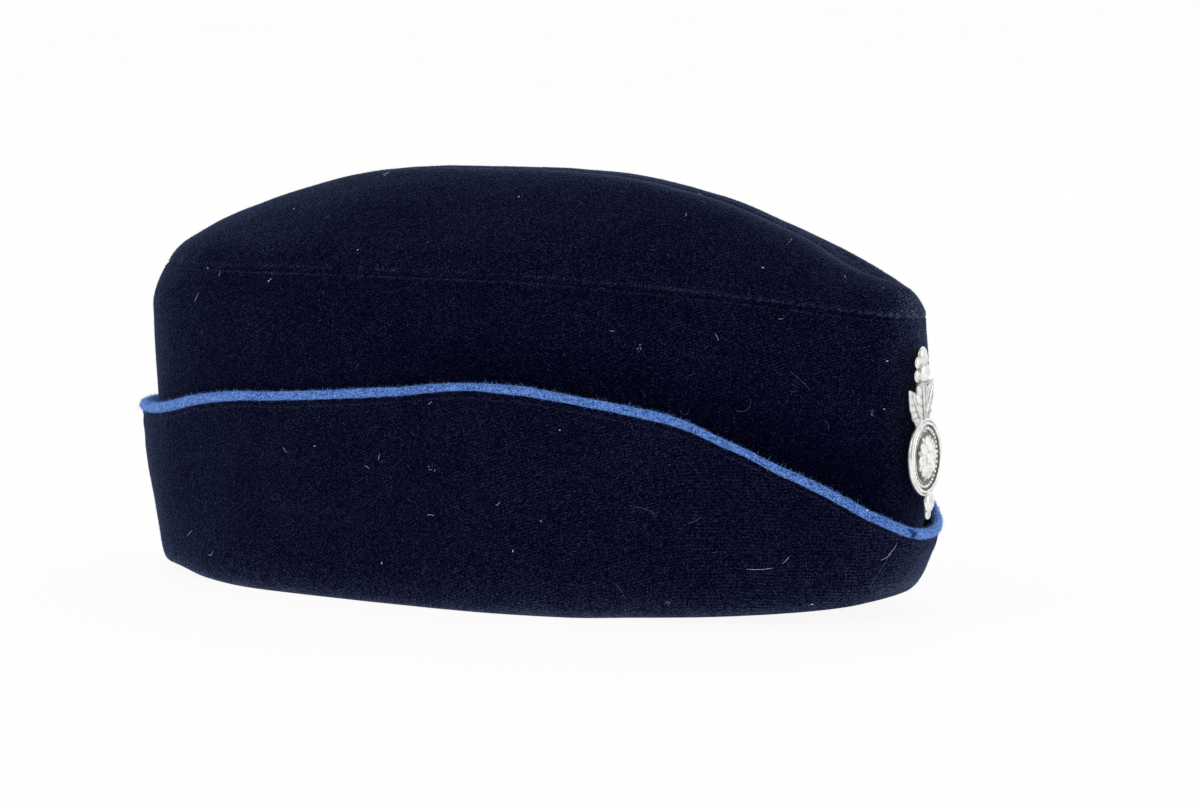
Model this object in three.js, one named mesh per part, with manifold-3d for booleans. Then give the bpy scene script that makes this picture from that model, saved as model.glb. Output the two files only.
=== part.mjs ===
// Side cap: a boat-shaped wool cap with a folded crown, a turned-up curtain
// edged with piping, and a metal badge at the centre front.
// Millimetres, +X to the front of the cap, +Z up. The cap stands on the fold
// of its curtain, and the origin is under the middle of its outline.

import * as THREE from 'three';
import { ParametricGeometry } from 'three/addons/geometries/ParametricGeometry.js';
import { mergeVertices } from 'three/addons/utils/BufferGeometryUtils.js';
import Module from 'manifold-3d';

// ---------------------------------------------------------------- sizes ----

const STEPS = 60;             // steps round the cap, the same for every cloth piece
const GAP = 0.3;              // clearance between neighbouring pieces
const BODY_WALL = 2.0;        // wool of the side wall
const CROWN_WALL = 2.0;       // wool of the crown, measured in plan at the seam
const CROWN_DROP = 2.2;       // the same wool, measured straight down at the crests
const CURTAIN_WALL = 2.6;     // the curtain is double cloth
const PIPING_D = 3.2;         // cloth-covered cord
const PIPING_SIDES = 8;
const MIDDLE_X = 2.227;       // from the plan tables' zero to the middle of the outline

// Plan outlines are two half superellipses that meet at the widest place:
// 'back' and 'front' are the ends, 'half' the half width, 'nb' and 'nf' the
// squareness of the back and of the front half.
const FOLD = { back: -123.7, front: 129.3, half: 47.5, nb: 2.35, nf: 2.2 };
const EDGE = { back: -132.7, front: 136.5, half: 50.5, nb: 2.08, nf: 2.25 };
const BODY_N = { nb: 2.35, nf: 2.0 };

// Side wall, one row for each level, from the bottom edge to the crown seam.
const BODY_LEVELS = [
  { name: 'hem', level: 0, back: -120.2, front: 125.3, half: 43.8, zBack: 5.6, zMid: 2.6, zFront: 9.0 },
  { name: 'waist', level: 1, back: -126.8, front: 134.6, half: 45.4, zBack: 40.4, zMid: 40.4, zFront: 38.4 },
  { name: 'upper', level: 2, back: -128.2, front: 134.9, half: 45.0, zBack: 84.0, zMid: 84.5, zFront: 74.5 },
  { name: 'seam', level: 3, back: -124.2, front: 133.8, half: 40.5, zBack: 98.2, zMid: 101.5, zFront: 90.1 },
];

// The two crests of the crown and the cleft pressed in between them.
const RIDGE = [
  { x: -117.5, half: 0.0, z: 101.8, cleft: 0 },
  { x: -108.0, half: 1.5, z: 109.7, cleft: 4 },
  { x: -85.0, half: 3.1, z: 119.5, cleft: 12 },
  { x: -67.0, half: 3.8, z: 125.2, cleft: 17 },
  { x: -48.0, half: 4.35, z: 129.4, cleft: 22.5 },
  { x: -22.0, half: 4.6, z: 131.2, cleft: 26 },
  { x: 8.0, half: 5.3, z: 131.4, cleft: 27 },
  { x: 30.0, half: 5.8, z: 130.6, cleft: 26 },
  { x: 65.0, half: 4.5, z: 124.7, cleft: 22 },
  { x: 90.0, half: 3.4, z: 116.0, cleft: 14 },
  { x: 108.0, half: 3.8, z: 108.1, cleft: 7 },
  { x: 126.3, half: 0.0, z: 99.4, cleft: 0 },
];
const CROWN_RISE = 12.0;      // how far the crown climbs before it turns in, at full height
const CROWN_LEAN = 1.0;       // how far it leans in on that climb
const CREST_ROLL = 9.0;       // width of the soft roll at a crest
const CROWN_TALL = 40.0;      // a rise of the crown that counts as full height
const CLEFT_HALF = 1.0;       // half width of the cleft
const CREST_R = 3.0;          // rounding of a crest into the cleft
const CLEFT_FULL = 4.0;       // crest half width at which the cleft is fully open

// Height of the piping's middle line along the curtain's upper edge.
const EDGE_Z = [
  { x: -132.7, z: 51.8 },
  { x: -122.0, z: 52.7 },
  { x: -95.0, z: 58.9 },
  { x: -60.0, z: 62.9 },
  { x: -20.0, z: 66.3 },
  { x: 5.0, z: 68.6 },
  { x: 30.0, z: 68.1 },
  { x: 60.0, z: 63.9 },
  { x: 80.0, z: 58.5 },
  { x: 100.0, z: 48.6 },
  { x: 115.0, z: 40.6 },
  { x: 136.5, z: 25.3 },
];

// Lift of the fold off the surface: flat in the middle, rocking up at the ends.
const RIM_Z = [
  { x: -123.7, z: 3.0 },
  { x: -100.0, z: 1.2 },
  { x: -80.0, z: 0.0 },
  { x: 36.0, z: 0.0 },
  { x: 60.0, z: 1.1 },
  { x: 80.0, z: 2.0 },
  { x: 105.0, z: 3.9 },
  { x: 120.0, z: 5.0 },
  { x: 129.3, z: 6.4 },
];
const FLARE = 0.8;            // exponent of the curtain's outward lean
const EDGE_OUT = 1.2;         // the curtain's face stands this far outside the piping's middle line

// Lower end of the curtain, walked from the outer face under the cap to the
// inner face: 'inset' from the fold outline, 'rise' above the fold's lift.
const TURN_UNDER = [
  { name: 'outer roll', inset: 0.35, rise: 0.9 },
  { name: 'flat, outer side', inset: 1.3, rise: 0.0 },
  { name: 'flat, inner side', inset: 5.4, rise: 0.0 },
  { name: 'inner roll', inset: 6.2, rise: 0.8 },
  { name: 'inner end', inset: 5.9, rise: 2.3 },
  { name: 'inside corner', inset: 2.9, rise: 2.3 },
];
const WALL_FOOT = 2.4;        // where the curtain's outer face starts above the fold
const HEM_RISE = 2.6;         // the body's bottom edge above the fold

// Badge, in its own frame: x across, y up, z out from the cap.
const BADGE_PLACE = { z: 56.2, standoff: 0.45, aside: 6.0, turn: 2.0, lean: 0.8, roll: 4.5 };
const MEDAL_Y = -7.2;
const MEDAL_PROFILE = [
  { r: 0.0, h: 0.0 },
  { r: 11.5, h: 0.0 },
  { r: 11.7, h: 0.2 },
  { r: 11.7, h: 1.2 },
  { r: 11.2, h: 1.7 },
  { r: 10.2, h: 1.7 },
  { r: 9.7, h: 1.2 },
  { r: 8.1, h: 1.2 },
  { r: 7.6, h: 1.6 },
  { r: 4.2, h: 2.0 },
  { r: 0.0, h: 2.2 },
];
const LEAVES = [
  { name: 'middle', tilt: 0, length: 17.5, width: 10.6 },
  { name: 'left', tilt: 36, length: 15.4, width: 9.4 },
  { name: 'right', tilt: -36, length: 15.4, width: 9.4 },
];
const LEAF_FOOT = 2.4;        // where the leaves start, above the badge's middle
const LEAF_THICK = 1.2;
const BEADS = [
  { name: 'collar', x: 0.0, y: 18.6, r: 3.4 },
  { name: 'collar left', x: -3.6, y: 18.2, r: 2.0 },
  { name: 'collar right', x: 3.6, y: 18.2, r: 2.0 },
  { name: 'tip', x: 0.0, y: 23.6, r: 2.9 },
  { name: 'tip left', x: -2.7, y: 22.0, r: 2.0 },
  { name: 'tip right', x: 2.7, y: 22.0, r: 2.0 },
  { name: 'drop', x: 0.0, y: -20.8, r: 3.2 },
  { name: 'drop end', x: 0.0, y: -24.4, r: 1.9 },
];
const BEAD_FLAT = 0.4;
const POST = { d: 2.4, length: 10.4 };
const POST_HOLE = 3.2;
const CLUTCH = { d: 9.0, thick: 1.4, bore: 3.0, boss: 5.6, bossThick: 2.6, from: 6.9 };

// ------------------------------------------------------------ materials ----

const navyWool = new THREE.MeshStandardMaterial({ name: 'navy_wool', color: 0x0d1024, roughness: 0.95, metalness: 0.0 });
const bluePiping = new THREE.MeshStandardMaterial({ name: 'blue_piping', color: 0x4e73b8, roughness: 0.9, metalness: 0.0 });
const silver = new THREE.MeshStandardMaterial({ name: 'silver_metal', color: 0xc9c7c2, roughness: 0.3, metalness: 1.0 });

// -------------------------------------------------------------- helpers ----

// Smooth curve through a short table, without overshoot, held at its ends.
function along(rows, key, value, at) {
  const n = rows.length;
  const x = rows.map((r) => r[key]);
  const y = rows.map((r) => r[value]);
  const slope = (i) => (y[i + 1] - y[i]) / (x[i + 1] - x[i]);
  const tangent = (i) => {
    if (i === 0) return slope(0);
    if (i === n - 1) return slope(n - 2);
    const a = slope(i - 1);
    const b = slope(i);
    if (a * b <= 0) return 0;
    const ha = x[i] - x[i - 1];
    const hb = x[i + 1] - x[i];
    return (3 * (ha + hb)) / ((2 * hb + ha) / a + (hb + 2 * ha) / b);
  };
  const p = Math.min(Math.max(at, x[0]), x[n - 1]);
  let i = 0;
  while (i < n - 2 && p > x[i + 1]) i += 1;
  const h = x[i + 1] - x[i];
  const t = (p - x[i]) / h;
  const s = 1 - t;
  return y[i] * (1 + 2 * t) * s * s + tangent(i) * h * t * s * s
    + y[i + 1] * t * t * (3 - 2 * t) - tangent(i + 1) * h * t * t * s;
}

// Point of a plan outline at angle t, pulled in by 'inset'.
function plan(t, outline, inset = 0) {
  const c = Math.cos(t);
  const s = Math.sin(t);
  const power = 2 / (c >= 0 ? outline.nf : outline.nb);
  const reach = c >= 0 ? outline.front - inset : outline.back + inset;
  return {
    x: reach * Math.abs(c) ** power,
    y: (outline.half - inset) * Math.abs(s) ** power,
  };
}

// A surface given as rows of points for each angle, walked from the front
// round one side to the back and mirrored for the other side.
function wrap(rowsAt, closed) {
  const half = STEPS / 2;
  const columns = [];
  for (let i = 0; i <= half; i += 1) columns.push(rowsAt((Math.PI * i) / half));
  const rows = columns[0].length;
  const last = closed ? rows : rows - 1;
  return new ParametricGeometry((u, v, target) => {
    const i = Math.round(u * STEPS);
    const side = i <= half ? 1 : -1;
    const p = columns[i <= half ? i : STEPS - i][Math.round(v * last) % rows];
    const onMiddle = i % half === 0;
    target.set(p.x - MIDDLE_X, onMiddle ? 0 : side * p.y, p.z);
  }, STEPS, last);
}

// Shared corners joined, empty triangles dropped, faces pointing out.
function closedBody(geometry) {
  geometry.deleteAttribute('normal');
  if (geometry.getAttribute('uv')) geometry.deleteAttribute('uv');
  const merged = mergeVertices(geometry, 1e-4);
  const pos = merged.getAttribute('position');
  const kept = [];
  let volume = 0;
  const a = new THREE.Vector3();
  const b = new THREE.Vector3();
  const c = new THREE.Vector3();
  for (let i = 0; i < merged.index.count; i += 3) {
    const tri = [0, 1, 2].map((k) => merged.index.getX(i + k));
    if (tri[0] === tri[1] || tri[1] === tri[2] || tri[2] === tri[0]) continue;
    kept.push(tri);
    a.fromBufferAttribute(pos, tri[0]);
    b.fromBufferAttribute(pos, tri[1]);
    c.fromBufferAttribute(pos, tri[2]);
    volume += a.dot(b.cross(c)) / 6;
  }
  merged.setIndex(kept.flatMap((tri) => (volume < 0 ? [tri[0], tri[2], tri[1]] : tri)));
  return merged;
}

const wasm = await Module();
wasm.setup();

function toSolid(geometry) {
  const g = closedBody(geometry);
  return new wasm.Manifold(new wasm.Mesh({
    numProp: 3,
    vertProperties: new Float32Array(g.getAttribute('position').array),
    triVerts: new Uint32Array(g.index.array),
  }));
}

function toGeometry(solid) {
  const mesh = solid.getMesh();
  const g = new THREE.BufferGeometry();
  g.setAttribute('position', new THREE.BufferAttribute(new Float32Array(mesh.vertProperties), 3));
  g.setIndex(Array.from(mesh.triVerts));
  return g;
}

// ----------------------------------------------------------------- body ----

const rimLift = (t) => along(RIM_Z, 'x', 'z', plan(t, FOLD).x);

function bodyPoint(t, level, inset = 0) {
  const at = (column) => along(BODY_LEVELS, 'level', column, level);
  const outline = { back: at('back'), front: at('front'), half: at('half'), ...BODY_N };
  const p = plan(t, outline, inset);
  const c = Math.cos(t);
  const ends = (zMid, zEnd) => zMid + (zEnd - zMid) * c * c;
  const level0 = BODY_LEVELS[0];
  const z = ends(at('zMid'), c >= 0 ? at('zFront') : at('zBack'));
  const foot = ends(level0.zMid, c >= 0 ? level0.zFront : level0.zBack);
  const toFold = Math.max(0, 1 - level) * (rimLift(t) + HEM_RISE - foot);
  return { x: p.x, y: p.y, z: z + toFold };
}

const BODY_OUT = [0, 0.35, 0.7, 1.05, 1.4, 1.8, 2.2, 2.6, 3];
const BODY_IN = [3, 2.4, 1.7, 1.0, 0.5, 0];
const bodyGeometry = wrap((t) => {
  const rows = [
    ...BODY_OUT.map((level) => bodyPoint(t, level)),
    ...BODY_IN.map((level) => bodyPoint(t, level, BODY_WALL)),
  ];
  rows[BODY_OUT.length - 1].z -= GAP;
  rows[BODY_OUT.length].z -= GAP;
  return rows;
}, true);

// ---------------------------------------------------------------- crown ----

// One crest at angle t, pulled in from the ends by 'inset'.
function crest(t, inset = 0) {
  const x0 = RIDGE[0].x + inset;
  const x1 = RIDGE[RIDGE.length - 1].x - inset;
  const x = (x0 + x1) / 2 + ((x1 - x0) / 2) * Math.cos(t);
  // both crests run together exactly at the two ends of the ridge
  const end = Math.min(1, (x - x0) / 6, (x1 - x) / 6);
  const y = along(RIDGE, 'x', 'half', x) * Math.max(0, end);
  const open = Math.min(1, y / CLEFT_FULL);
  const cleft = along(RIDGE, 'x', 'cleft', x) * Math.max(0, end);
  return { x, y, z: along(RIDGE, 'x', 'z', x), open, cleft, roll: Math.min(CREST_R * open, cleft / 2) };
}

// The crown's side from the seam to a crest, as a cubic arc.
function crownSide(t, from, to, v) {
  const dx = to.x - from.x;
  const dy = to.y - from.y;
  const run = Math.max(Math.hypot(dx, dy), 1e-6);
  const tall = Math.min(1, Math.max(0.05, (to.z - from.z) / CROWN_TALL));
  const roll = Math.min(CREST_ROLL, 0.4 * run);
  const mix = (p, a, b, q) => p * (1 - v) ** 3 + 3 * a * v * (1 - v) ** 2 + 3 * b * v * v * (1 - v) + q * v ** 3;
  return {
    x: mix(from.x, from.x + (dx / run) * CROWN_LEAN * tall, to.x - (dx / run) * roll, to.x),
    y: mix(from.y, from.y + (dy / run) * CROWN_LEAN * tall, to.y - (dy / run) * roll, to.y),
    z: mix(from.z, from.z + CROWN_RISE * tall, to.z, to.z),
  };
}

const CROWN_OUT = [1, 0.9, 0.78, 0.64, 0.5, 0.36, 0.22, 0.1, 0];
const CROWN_IN = [0, 0.2, 0.42, 0.64, 0.84, 1];
const crownGeometry = wrap((t) => {
  const outer = crest(t);
  const inner = crest(t, CROWN_WALL);
  const slot = CLEFT_HALF * outer.open;
  const web = (CLEFT_HALF + CROWN_WALL) * inner.open;
  const under = { x: inner.x, y: inner.y + 0.8 * inner.open, z: inner.z - CROWN_DROP };
  const deg45 = Math.SQRT1_2;
  return [
    // down in the cleft, up over the crest
    { x: outer.x, y: 0, z: outer.z - outer.cleft },
    { x: outer.x, y: slot * 0.8, z: outer.z - outer.roll - 0.5 * (outer.cleft - outer.roll) },
    { x: outer.x, y: slot, z: outer.z - outer.roll },
    { x: outer.x, y: outer.y - (outer.y - slot) * deg45, z: outer.z - outer.roll * (1 - deg45) },
    // down the outer side to the seam, and up the inner side
    ...CROWN_OUT.map((v) => crownSide(t, bodyPoint(t, 3), outer, v)),
    ...CROWN_IN.map((v) => crownSide(t, bodyPoint(t, 3, CROWN_WALL), under, v)),
    // round the fold that hangs inside the cap
    { x: inner.x, y: web, z: under.z - inner.roll },
    { x: inner.x, y: web * 0.9, z: under.z - inner.roll - 0.5 * (inner.cleft - inner.roll) },
    { x: inner.x, y: 0, z: under.z - inner.cleft },
  ];
}, false);

// -------------------------------------------------------------- curtain ----

// Outer face of the curtain at angle t and height z.
function curtainFace(t, z, inset = 0) {
  const low = plan(t, FOLD, inset);
  const high = plan(t, EDGE, inset - EDGE_OUT);
  const edge = edgeHeight(t);
  const f = Math.max(0, (z - rimLift(t)) / (edge - rimLift(t))) ** FLARE;
  return { x: low.x + (high.x - low.x) * f, y: low.y + (high.y - low.y) * f, z };
}

function edgeHeight(t) {
  return along(EDGE_Z, 'x', 'z', plan(t, EDGE).x);
}

const WALL_ROWS = [1, 0.8, 0.6, 0.4, 0.2, 0];
const curtainGeometry = wrap((t) => {
  const lift = rimLift(t);
  const foot = lift + WALL_FOOT;
  const top = edgeHeight(t) - PIPING_D / 2 - GAP;
  const heights = WALL_ROWS.map((w) => foot + (top - foot) * w);
  const inner = heights.slice(0, -1).reverse();
  return [
    ...heights.map((z) => curtainFace(t, z)),
    ...TURN_UNDER.map((row) => ({ ...plan(t, FOLD, row.inset), z: lift + row.rise })),
    ...inner.map((z) => curtainFace(t, z, CURTAIN_WALL)),
  ];
}, true);

// --------------------------------------------------------------- piping ----

function edgePoint(t) {
  return { ...plan(t, EDGE), z: edgeHeight(t) };
}

const pipingGeometry = wrap((t) => {
  const step = 0.02;
  const p = edgePoint(t);
  const a = edgePoint(Math.max(0, t - step));
  const b = edgePoint(Math.min(Math.PI, t + step));
  const tangent = new THREE.Vector3(b.x - a.x, b.y - a.y, b.z - a.z);
  if (t < step || t > Math.PI - step) tangent.set(0, t < step ? 1 : -1, 0);
  tangent.normalize();
  const outward = new THREE.Vector3(0, 0, 1).cross(tangent).negate().normalize();
  const upward = tangent.clone().cross(outward).normalize();
  return Array.from({ length: PIPING_SIDES }, (unused, k) => {
    const angle = (2 * Math.PI * (k + 0.5)) / PIPING_SIDES;
    const o = (Math.cos(angle) * PIPING_D) / 2;
    const h = (Math.sin(angle) * PIPING_D) / 2;
    return {
      x: p.x + outward.x * o + upward.x * h,
      y: p.y + outward.y * o + upward.y * h,
      z: p.z + outward.z * o + upward.z * h,
    };
  });
}, true);

// ---------------------------------------------------------------- badge ----

// The badge's frame: its back plane just off the front of the body, turned and
// rolled a little to one side, its lower end leaning forward.
const turn = THREE.MathUtils.degToRad(BADGE_PLACE.turn);
const lean = THREE.MathUtils.degToRad(BADGE_PLACE.lean);
const bodyFront = (z) => {
  let level = 0;
  while (level < 3 && bodyPoint(0, level).z < z) level += 0.01;
  return bodyPoint(0, level).x;
};
const outOfCap = new THREE.Vector3(Math.cos(turn) * Math.cos(lean), -Math.sin(turn) * Math.cos(lean), Math.sin(lean));
const across = new THREE.Vector3(Math.sin(turn), Math.cos(turn), 0);
const upBadge = outOfCap.clone().cross(across).normalize();
const upperReach = BEADS[3].y + BEADS[3].r;
const badgeFrame = new THREE.Matrix4().makeBasis(across, upBadge, outOfCap);
badgeFrame.multiply(new THREE.Matrix4().makeRotationZ(THREE.MathUtils.degToRad(BADGE_PLACE.roll)));
badgeFrame.setPosition(
  bodyFront(BADGE_PLACE.z) - MIDDLE_X + BADGE_PLACE.standoff + upperReach * Math.sin(lean),
  -BADGE_PLACE.aside,
  BADGE_PLACE.z,
);

function leaf({ tilt, length, width }) {
  const shape = new THREE.Shape();
  shape.moveTo(0, -2);
  shape.bezierCurveTo(-width * 0.35, 0, -width * 0.75, length * 0.55, 0, length);
  shape.bezierCurveTo(width * 0.75, length * 0.55, width * 0.35, 0, 0, -2);
  const g = new THREE.ExtrudeGeometry(shape, {
    depth: LEAF_THICK - 0.4, bevelEnabled: true, bevelThickness: 0.4, bevelSize: 0.35, bevelOffset: -0.35, bevelSegments: 1, curveSegments: 7, steps: 1,
  });
  g.rotateZ(THREE.MathUtils.degToRad(tilt));
  g.translate(0, LEAF_FOOT, 0.4);
  return g;
}

const medal = new THREE.LatheGeometry(MEDAL_PROFILE.map((p) => new THREE.Vector2(p.r, p.h)), 32);
medal.rotateX(Math.PI / 2);
medal.translate(0, MEDAL_Y, 0);
const post = new THREE.CylinderGeometry(POST.d / 2, POST.d / 2, POST.length + 0.6, 12);
post.rotateX(Math.PI / 2);
post.translate(0, MEDAL_Y, (0.6 - POST.length) / 2);
let badgeSolid = toSolid(medal).add(toSolid(post));
for (const row of LEAVES) badgeSolid = badgeSolid.add(toSolid(leaf(row)));
for (const row of BEADS) {
  const bead = new THREE.SphereGeometry(row.r, 10, 6);
  bead.scale(1, 1, BEAD_FLAT);
  bead.translate(row.x, row.y, row.r * BEAD_FLAT + 0.1);
  badgeSolid = badgeSolid.add(toSolid(bead));
}

// The plain clutch that grips the post behind the wall.
const clutchGeometry = new THREE.LatheGeometry([
  new THREE.Vector2(CLUTCH.bore / 2, 0),
  new THREE.Vector2(CLUTCH.d / 2, 0),
  new THREE.Vector2(CLUTCH.d / 2, CLUTCH.thick),
  new THREE.Vector2(CLUTCH.boss / 2, CLUTCH.thick),
  new THREE.Vector2(CLUTCH.boss / 2, CLUTCH.bossThick),
  new THREE.Vector2(CLUTCH.bore / 2, CLUTCH.bossThick),
  new THREE.Vector2(CLUTCH.bore / 2, 0),
], 24);
clutchGeometry.rotateX(-Math.PI / 2);
clutchGeometry.translate(0, MEDAL_Y, -CLUTCH.from);

// The hole in the wool that the post passes through.
const hole = new THREE.CylinderGeometry(POST_HOLE / 2, POST_HOLE / 2, 2 * POST.length, 12);
hole.rotateX(Math.PI / 2);
hole.translate(0, MEDAL_Y, 0);
hole.applyMatrix4(badgeFrame);

// ------------------------------------------------------------- assembly ----

function piece(name, geometry, material) {
  const mesh = new THREE.Mesh(geometry, material);
  mesh.name = name;
  return mesh;
}

const cap = new THREE.Group();
cap.name = 'side_cap';
cap.add(piece('body', toGeometry(toSolid(bodyGeometry).subtract(toSolid(hole))), navyWool));
cap.add(piece('crown', closedBody(crownGeometry), navyWool));
cap.add(piece('curtain', closedBody(curtainGeometry), navyWool));
cap.add(piece('piping', closedBody(pipingGeometry), bluePiping));

const front = new THREE.Group();
front.applyMatrix4(badgeFrame);
front.add(piece('badge', toGeometry(badgeSolid), silver));
front.add(piece('badge_clutch', closedBody(clutchGeometry), silver));
cap.add(front);

export default cap;
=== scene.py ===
import math

import bpy
import numpy as np
from mathutils import Matrix, Vector
from mathutils.bvhtree import BVHTree


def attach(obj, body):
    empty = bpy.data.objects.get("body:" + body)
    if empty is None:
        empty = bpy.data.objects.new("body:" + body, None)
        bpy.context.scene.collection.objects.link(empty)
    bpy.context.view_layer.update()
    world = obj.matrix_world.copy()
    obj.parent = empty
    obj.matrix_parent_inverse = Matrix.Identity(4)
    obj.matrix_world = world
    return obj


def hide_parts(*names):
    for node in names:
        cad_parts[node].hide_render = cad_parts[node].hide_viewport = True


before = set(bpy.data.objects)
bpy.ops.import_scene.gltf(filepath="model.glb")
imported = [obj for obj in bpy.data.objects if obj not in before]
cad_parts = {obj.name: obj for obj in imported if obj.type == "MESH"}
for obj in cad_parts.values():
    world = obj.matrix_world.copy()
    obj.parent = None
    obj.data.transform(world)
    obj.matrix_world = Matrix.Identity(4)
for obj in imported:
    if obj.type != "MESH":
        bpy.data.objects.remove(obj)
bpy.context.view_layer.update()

# ------------------------------------------------------------------ sizes ----

COLUMNS = 900           # steps round every cloth piece
MIDDLE_X = 2.227
BODY_WALL, CROWN_WALL, CROWN_DROP, CURTAIN_WALL = 2.0, 2.0, 2.2, 2.6

FOLD = dict(back=-123.7, front=129.3, half=47.5, nb=2.35, nf=2.2)
EDGE = dict(back=-132.7, front=136.5, half=50.5, nb=2.08, nf=2.25)
BODY_N = dict(nb=2.35, nf=2.0)

# level, back, front, half, zBack, zMid, zFront
BODY_LEVELS = np.array([
    (0, -120.2, 125.3, 43.8, 5.6, 2.6, 9.0),
    (1, -126.8, 134.6, 45.4, 40.4, 40.4, 38.4),
    (2, -128.2, 134.9, 45.0, 84.0, 84.5, 74.5),
    (3, -124.2, 133.8, 40.5, 98.2, 101.5, 90.1),
])

# x, half, z, cleft
RIDGE = np.array([
    (-117.5, 0.0, 101.8, 0), (-108.0, 1.5, 109.7, 4), (-85.0, 3.1, 119.5, 12),
    (-67.0, 3.8, 125.2, 17), (-48.0, 4.35, 129.4, 22.5), (-22.0, 4.6, 131.2, 26),
    (8.0, 5.3, 131.4, 27), (30.0, 5.8, 130.6, 26), (65.0, 4.5, 124.7, 22),
    (90.0, 3.4, 116.0, 14), (108.0, 3.8, 108.1, 7), (126.3, 0.0, 99.4, 0),
])
CROWN_RISE, CROWN_LEAN, CREST_ROLL, CROWN_TALL = 12.0, 1.0, 9.0, 40.0
CLEFT_HALF, CREST_R, CLEFT_FULL = 1.0, 3.0, 4.0

EDGE_Z = np.array([
    (-132.7, 51.8), (-122.0, 52.7), (-95.0, 58.9), (-60.0, 62.9), (-20.0, 66.3),
    (5.0, 68.6), (30.0, 68.1), (60.0, 63.9), (80.0, 58.5), (100.0, 48.6),
    (115.0, 40.6), (136.5, 25.3),
])
# the hand-sewn waver of that edge: x, rise
EDGE_WAVER = np.array([
    (-124.0, 0.0), (-112.8, -0.55), (-104.5, -0.72), (-97.0, -0.6), (-90.0, -0.2), (-77.0, 0.1),
    (-64.7, -0.37), (-56.0, -0.5), (-41.5, -0.36), (-30.8, -0.16), (-16.0, 0.0), (-4.5, 0.24),
    (5.8, 0.54), (10.7, 0.7), (16.1, 0.5), (25.9, 0.4), (30.8, 0.0), (36.0, -0.25), (44.9, -0.4),
    (54.0, -0.2), (63.6, 0.0), (72.5, 0.32), (77.0, 0.2), (81.2, -0.35), (85.6, -0.53), (89.8, -0.24),
    (94.0, 0.15), (102.7, -0.15), (111.0, 0.05), (124.0, -0.18), (129.2, 0.28), (135.0, 0.18), (136.5, 0.15),
])
# how full the piping stands along the edge: x, radius
PIPING_R = np.array([
    (-132.7, 1.76), (-110.0, 1.74), (-79.0, 1.54), (-61.0, 1.4), (-36.0, 1.46), (-1.0, 1.26),
    (8.0, 1.18), (25.0, 1.48), (42.0, 1.28), (67.0, 1.46), (83.0, 1.2), (94.0, 1.16),
    (105.0, 1.34), (119.0, 1.46), (136.5, 1.62),
])
RIM_Z = np.array([
    (-123.7, 3.0), (-100.0, 0.8), (-80.0, 0.0), (36.0, 0.0), (60.0, 1.0),
    (80.0, 1.8), (105.0, 3.5), (120.0, 4.7), (129.3, 6.4),
])
FLARE, EDGE_OUT, HEM_RISE = 0.8, 1.2, 2.6

# Seam and stitch layout, distances from the seam line or the piping's middle.
SEAM_STITCH = 1.15      # stitch row below the crown seam
SEAM_PITCH = 2.05
EDGE_STITCH = 3.3       # stitch row below the piping's middle line
EDGE_PITCH = 1.9

# ---------------------------------------------------------------- helpers ----


def along(xs, ys, at):
    """Smooth curve through a short table, without overshoot, held at its ends."""
    xs, ys = np.asarray(xs, float), np.asarray(ys, float)
    h = np.diff(xs)
    d = np.diff(ys) / h
    m = np.zeros(len(xs))
    m[0], m[-1] = d[0], d[-1]
    for i in range(1, len(xs) - 1):
        a, b = d[i - 1], d[i]
        if a * b > 0:
            m[i] = 3 * (h[i - 1] + h[i]) / ((2 * h[i] + h[i - 1]) / a + (h[i] + 2 * h[i - 1]) / b)
    p = np.clip(at, xs[0], xs[-1])
    i = np.clip(np.searchsorted(xs, p) - 1, 0, len(xs) - 2)
    t = (p - xs[i]) / h[i]
    s = 1 - t
    return (ys[i] * (1 + 2 * t) * s * s + m[i] * h[i] * t * s * s
            + ys[i + 1] * t * t * (3 - 2 * t) - m[i + 1] * h[i] * t * t * s)


def plan(t, o, inset=0.0):
    c, s = np.cos(t), np.sin(t)
    power = 2 / np.where(c >= 0, o["nf"], o["nb"])
    reach = np.where(c >= 0, o["front"] - inset, o["back"] + inset)
    side = np.where(np.abs(s) < 1e-9, 0.0, np.sign(s))
    return reach * np.abs(c) ** power, side * (o["half"] - inset) * np.abs(s) ** power


def rim_lift(t):
    return along(RIM_Z[:, 0], RIM_Z[:, 1], plan(t, FOLD)[0])


def edge_height(t):
    x = plan(t, EDGE)[0]
    return along(EDGE_Z[:, 0], EDGE_Z[:, 1], x) + along(EDGE_WAVER[:, 0], EDGE_WAVER[:, 1], x)


def body_point(t, level, inset=0.0):
    col = [along(BODY_LEVELS[:, 0], BODY_LEVELS[:, k], level) for k in range(1, 7)]
    back, front, half, z_back, z_mid, z_front = col
    x, y = plan(t, dict(back=back, front=front, half=half, **BODY_N), inset)
    c = np.cos(t)
    z = z_mid + (np.where(c >= 0, z_front, z_back) - z_mid) * c * c
    low = BODY_LEVELS[0]
    foot = low[5] + (np.where(c >= 0, low[6], low[4]) - low[5]) * c * c
    z = z + np.maximum(0, 1 - level) * (rim_lift(t) + HEM_RISE - foot)
    return np.stack(np.broadcast_arrays(x, y, z), -1)


def crest(t, inset=0.0):
    x0, x1 = RIDGE[0, 0] + inset, RIDGE[-1, 0] - inset
    x = (x0 + x1) / 2 + (x1 - x0) / 2 * np.cos(t)
    end = np.maximum(0, np.minimum(1, np.minimum((x - x0) / 6, (x1 - x) / 6)))
    y = along(RIDGE[:, 0], RIDGE[:, 1], x) * end
    opened = np.minimum(1, y / CLEFT_FULL)
    cleft = along(RIDGE[:, 0], RIDGE[:, 3], x) * end
    z = along(RIDGE[:, 0], RIDGE[:, 2], x)
    return x, y, z, opened, cleft, np.minimum(CREST_R * opened, cleft / 2)


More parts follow.
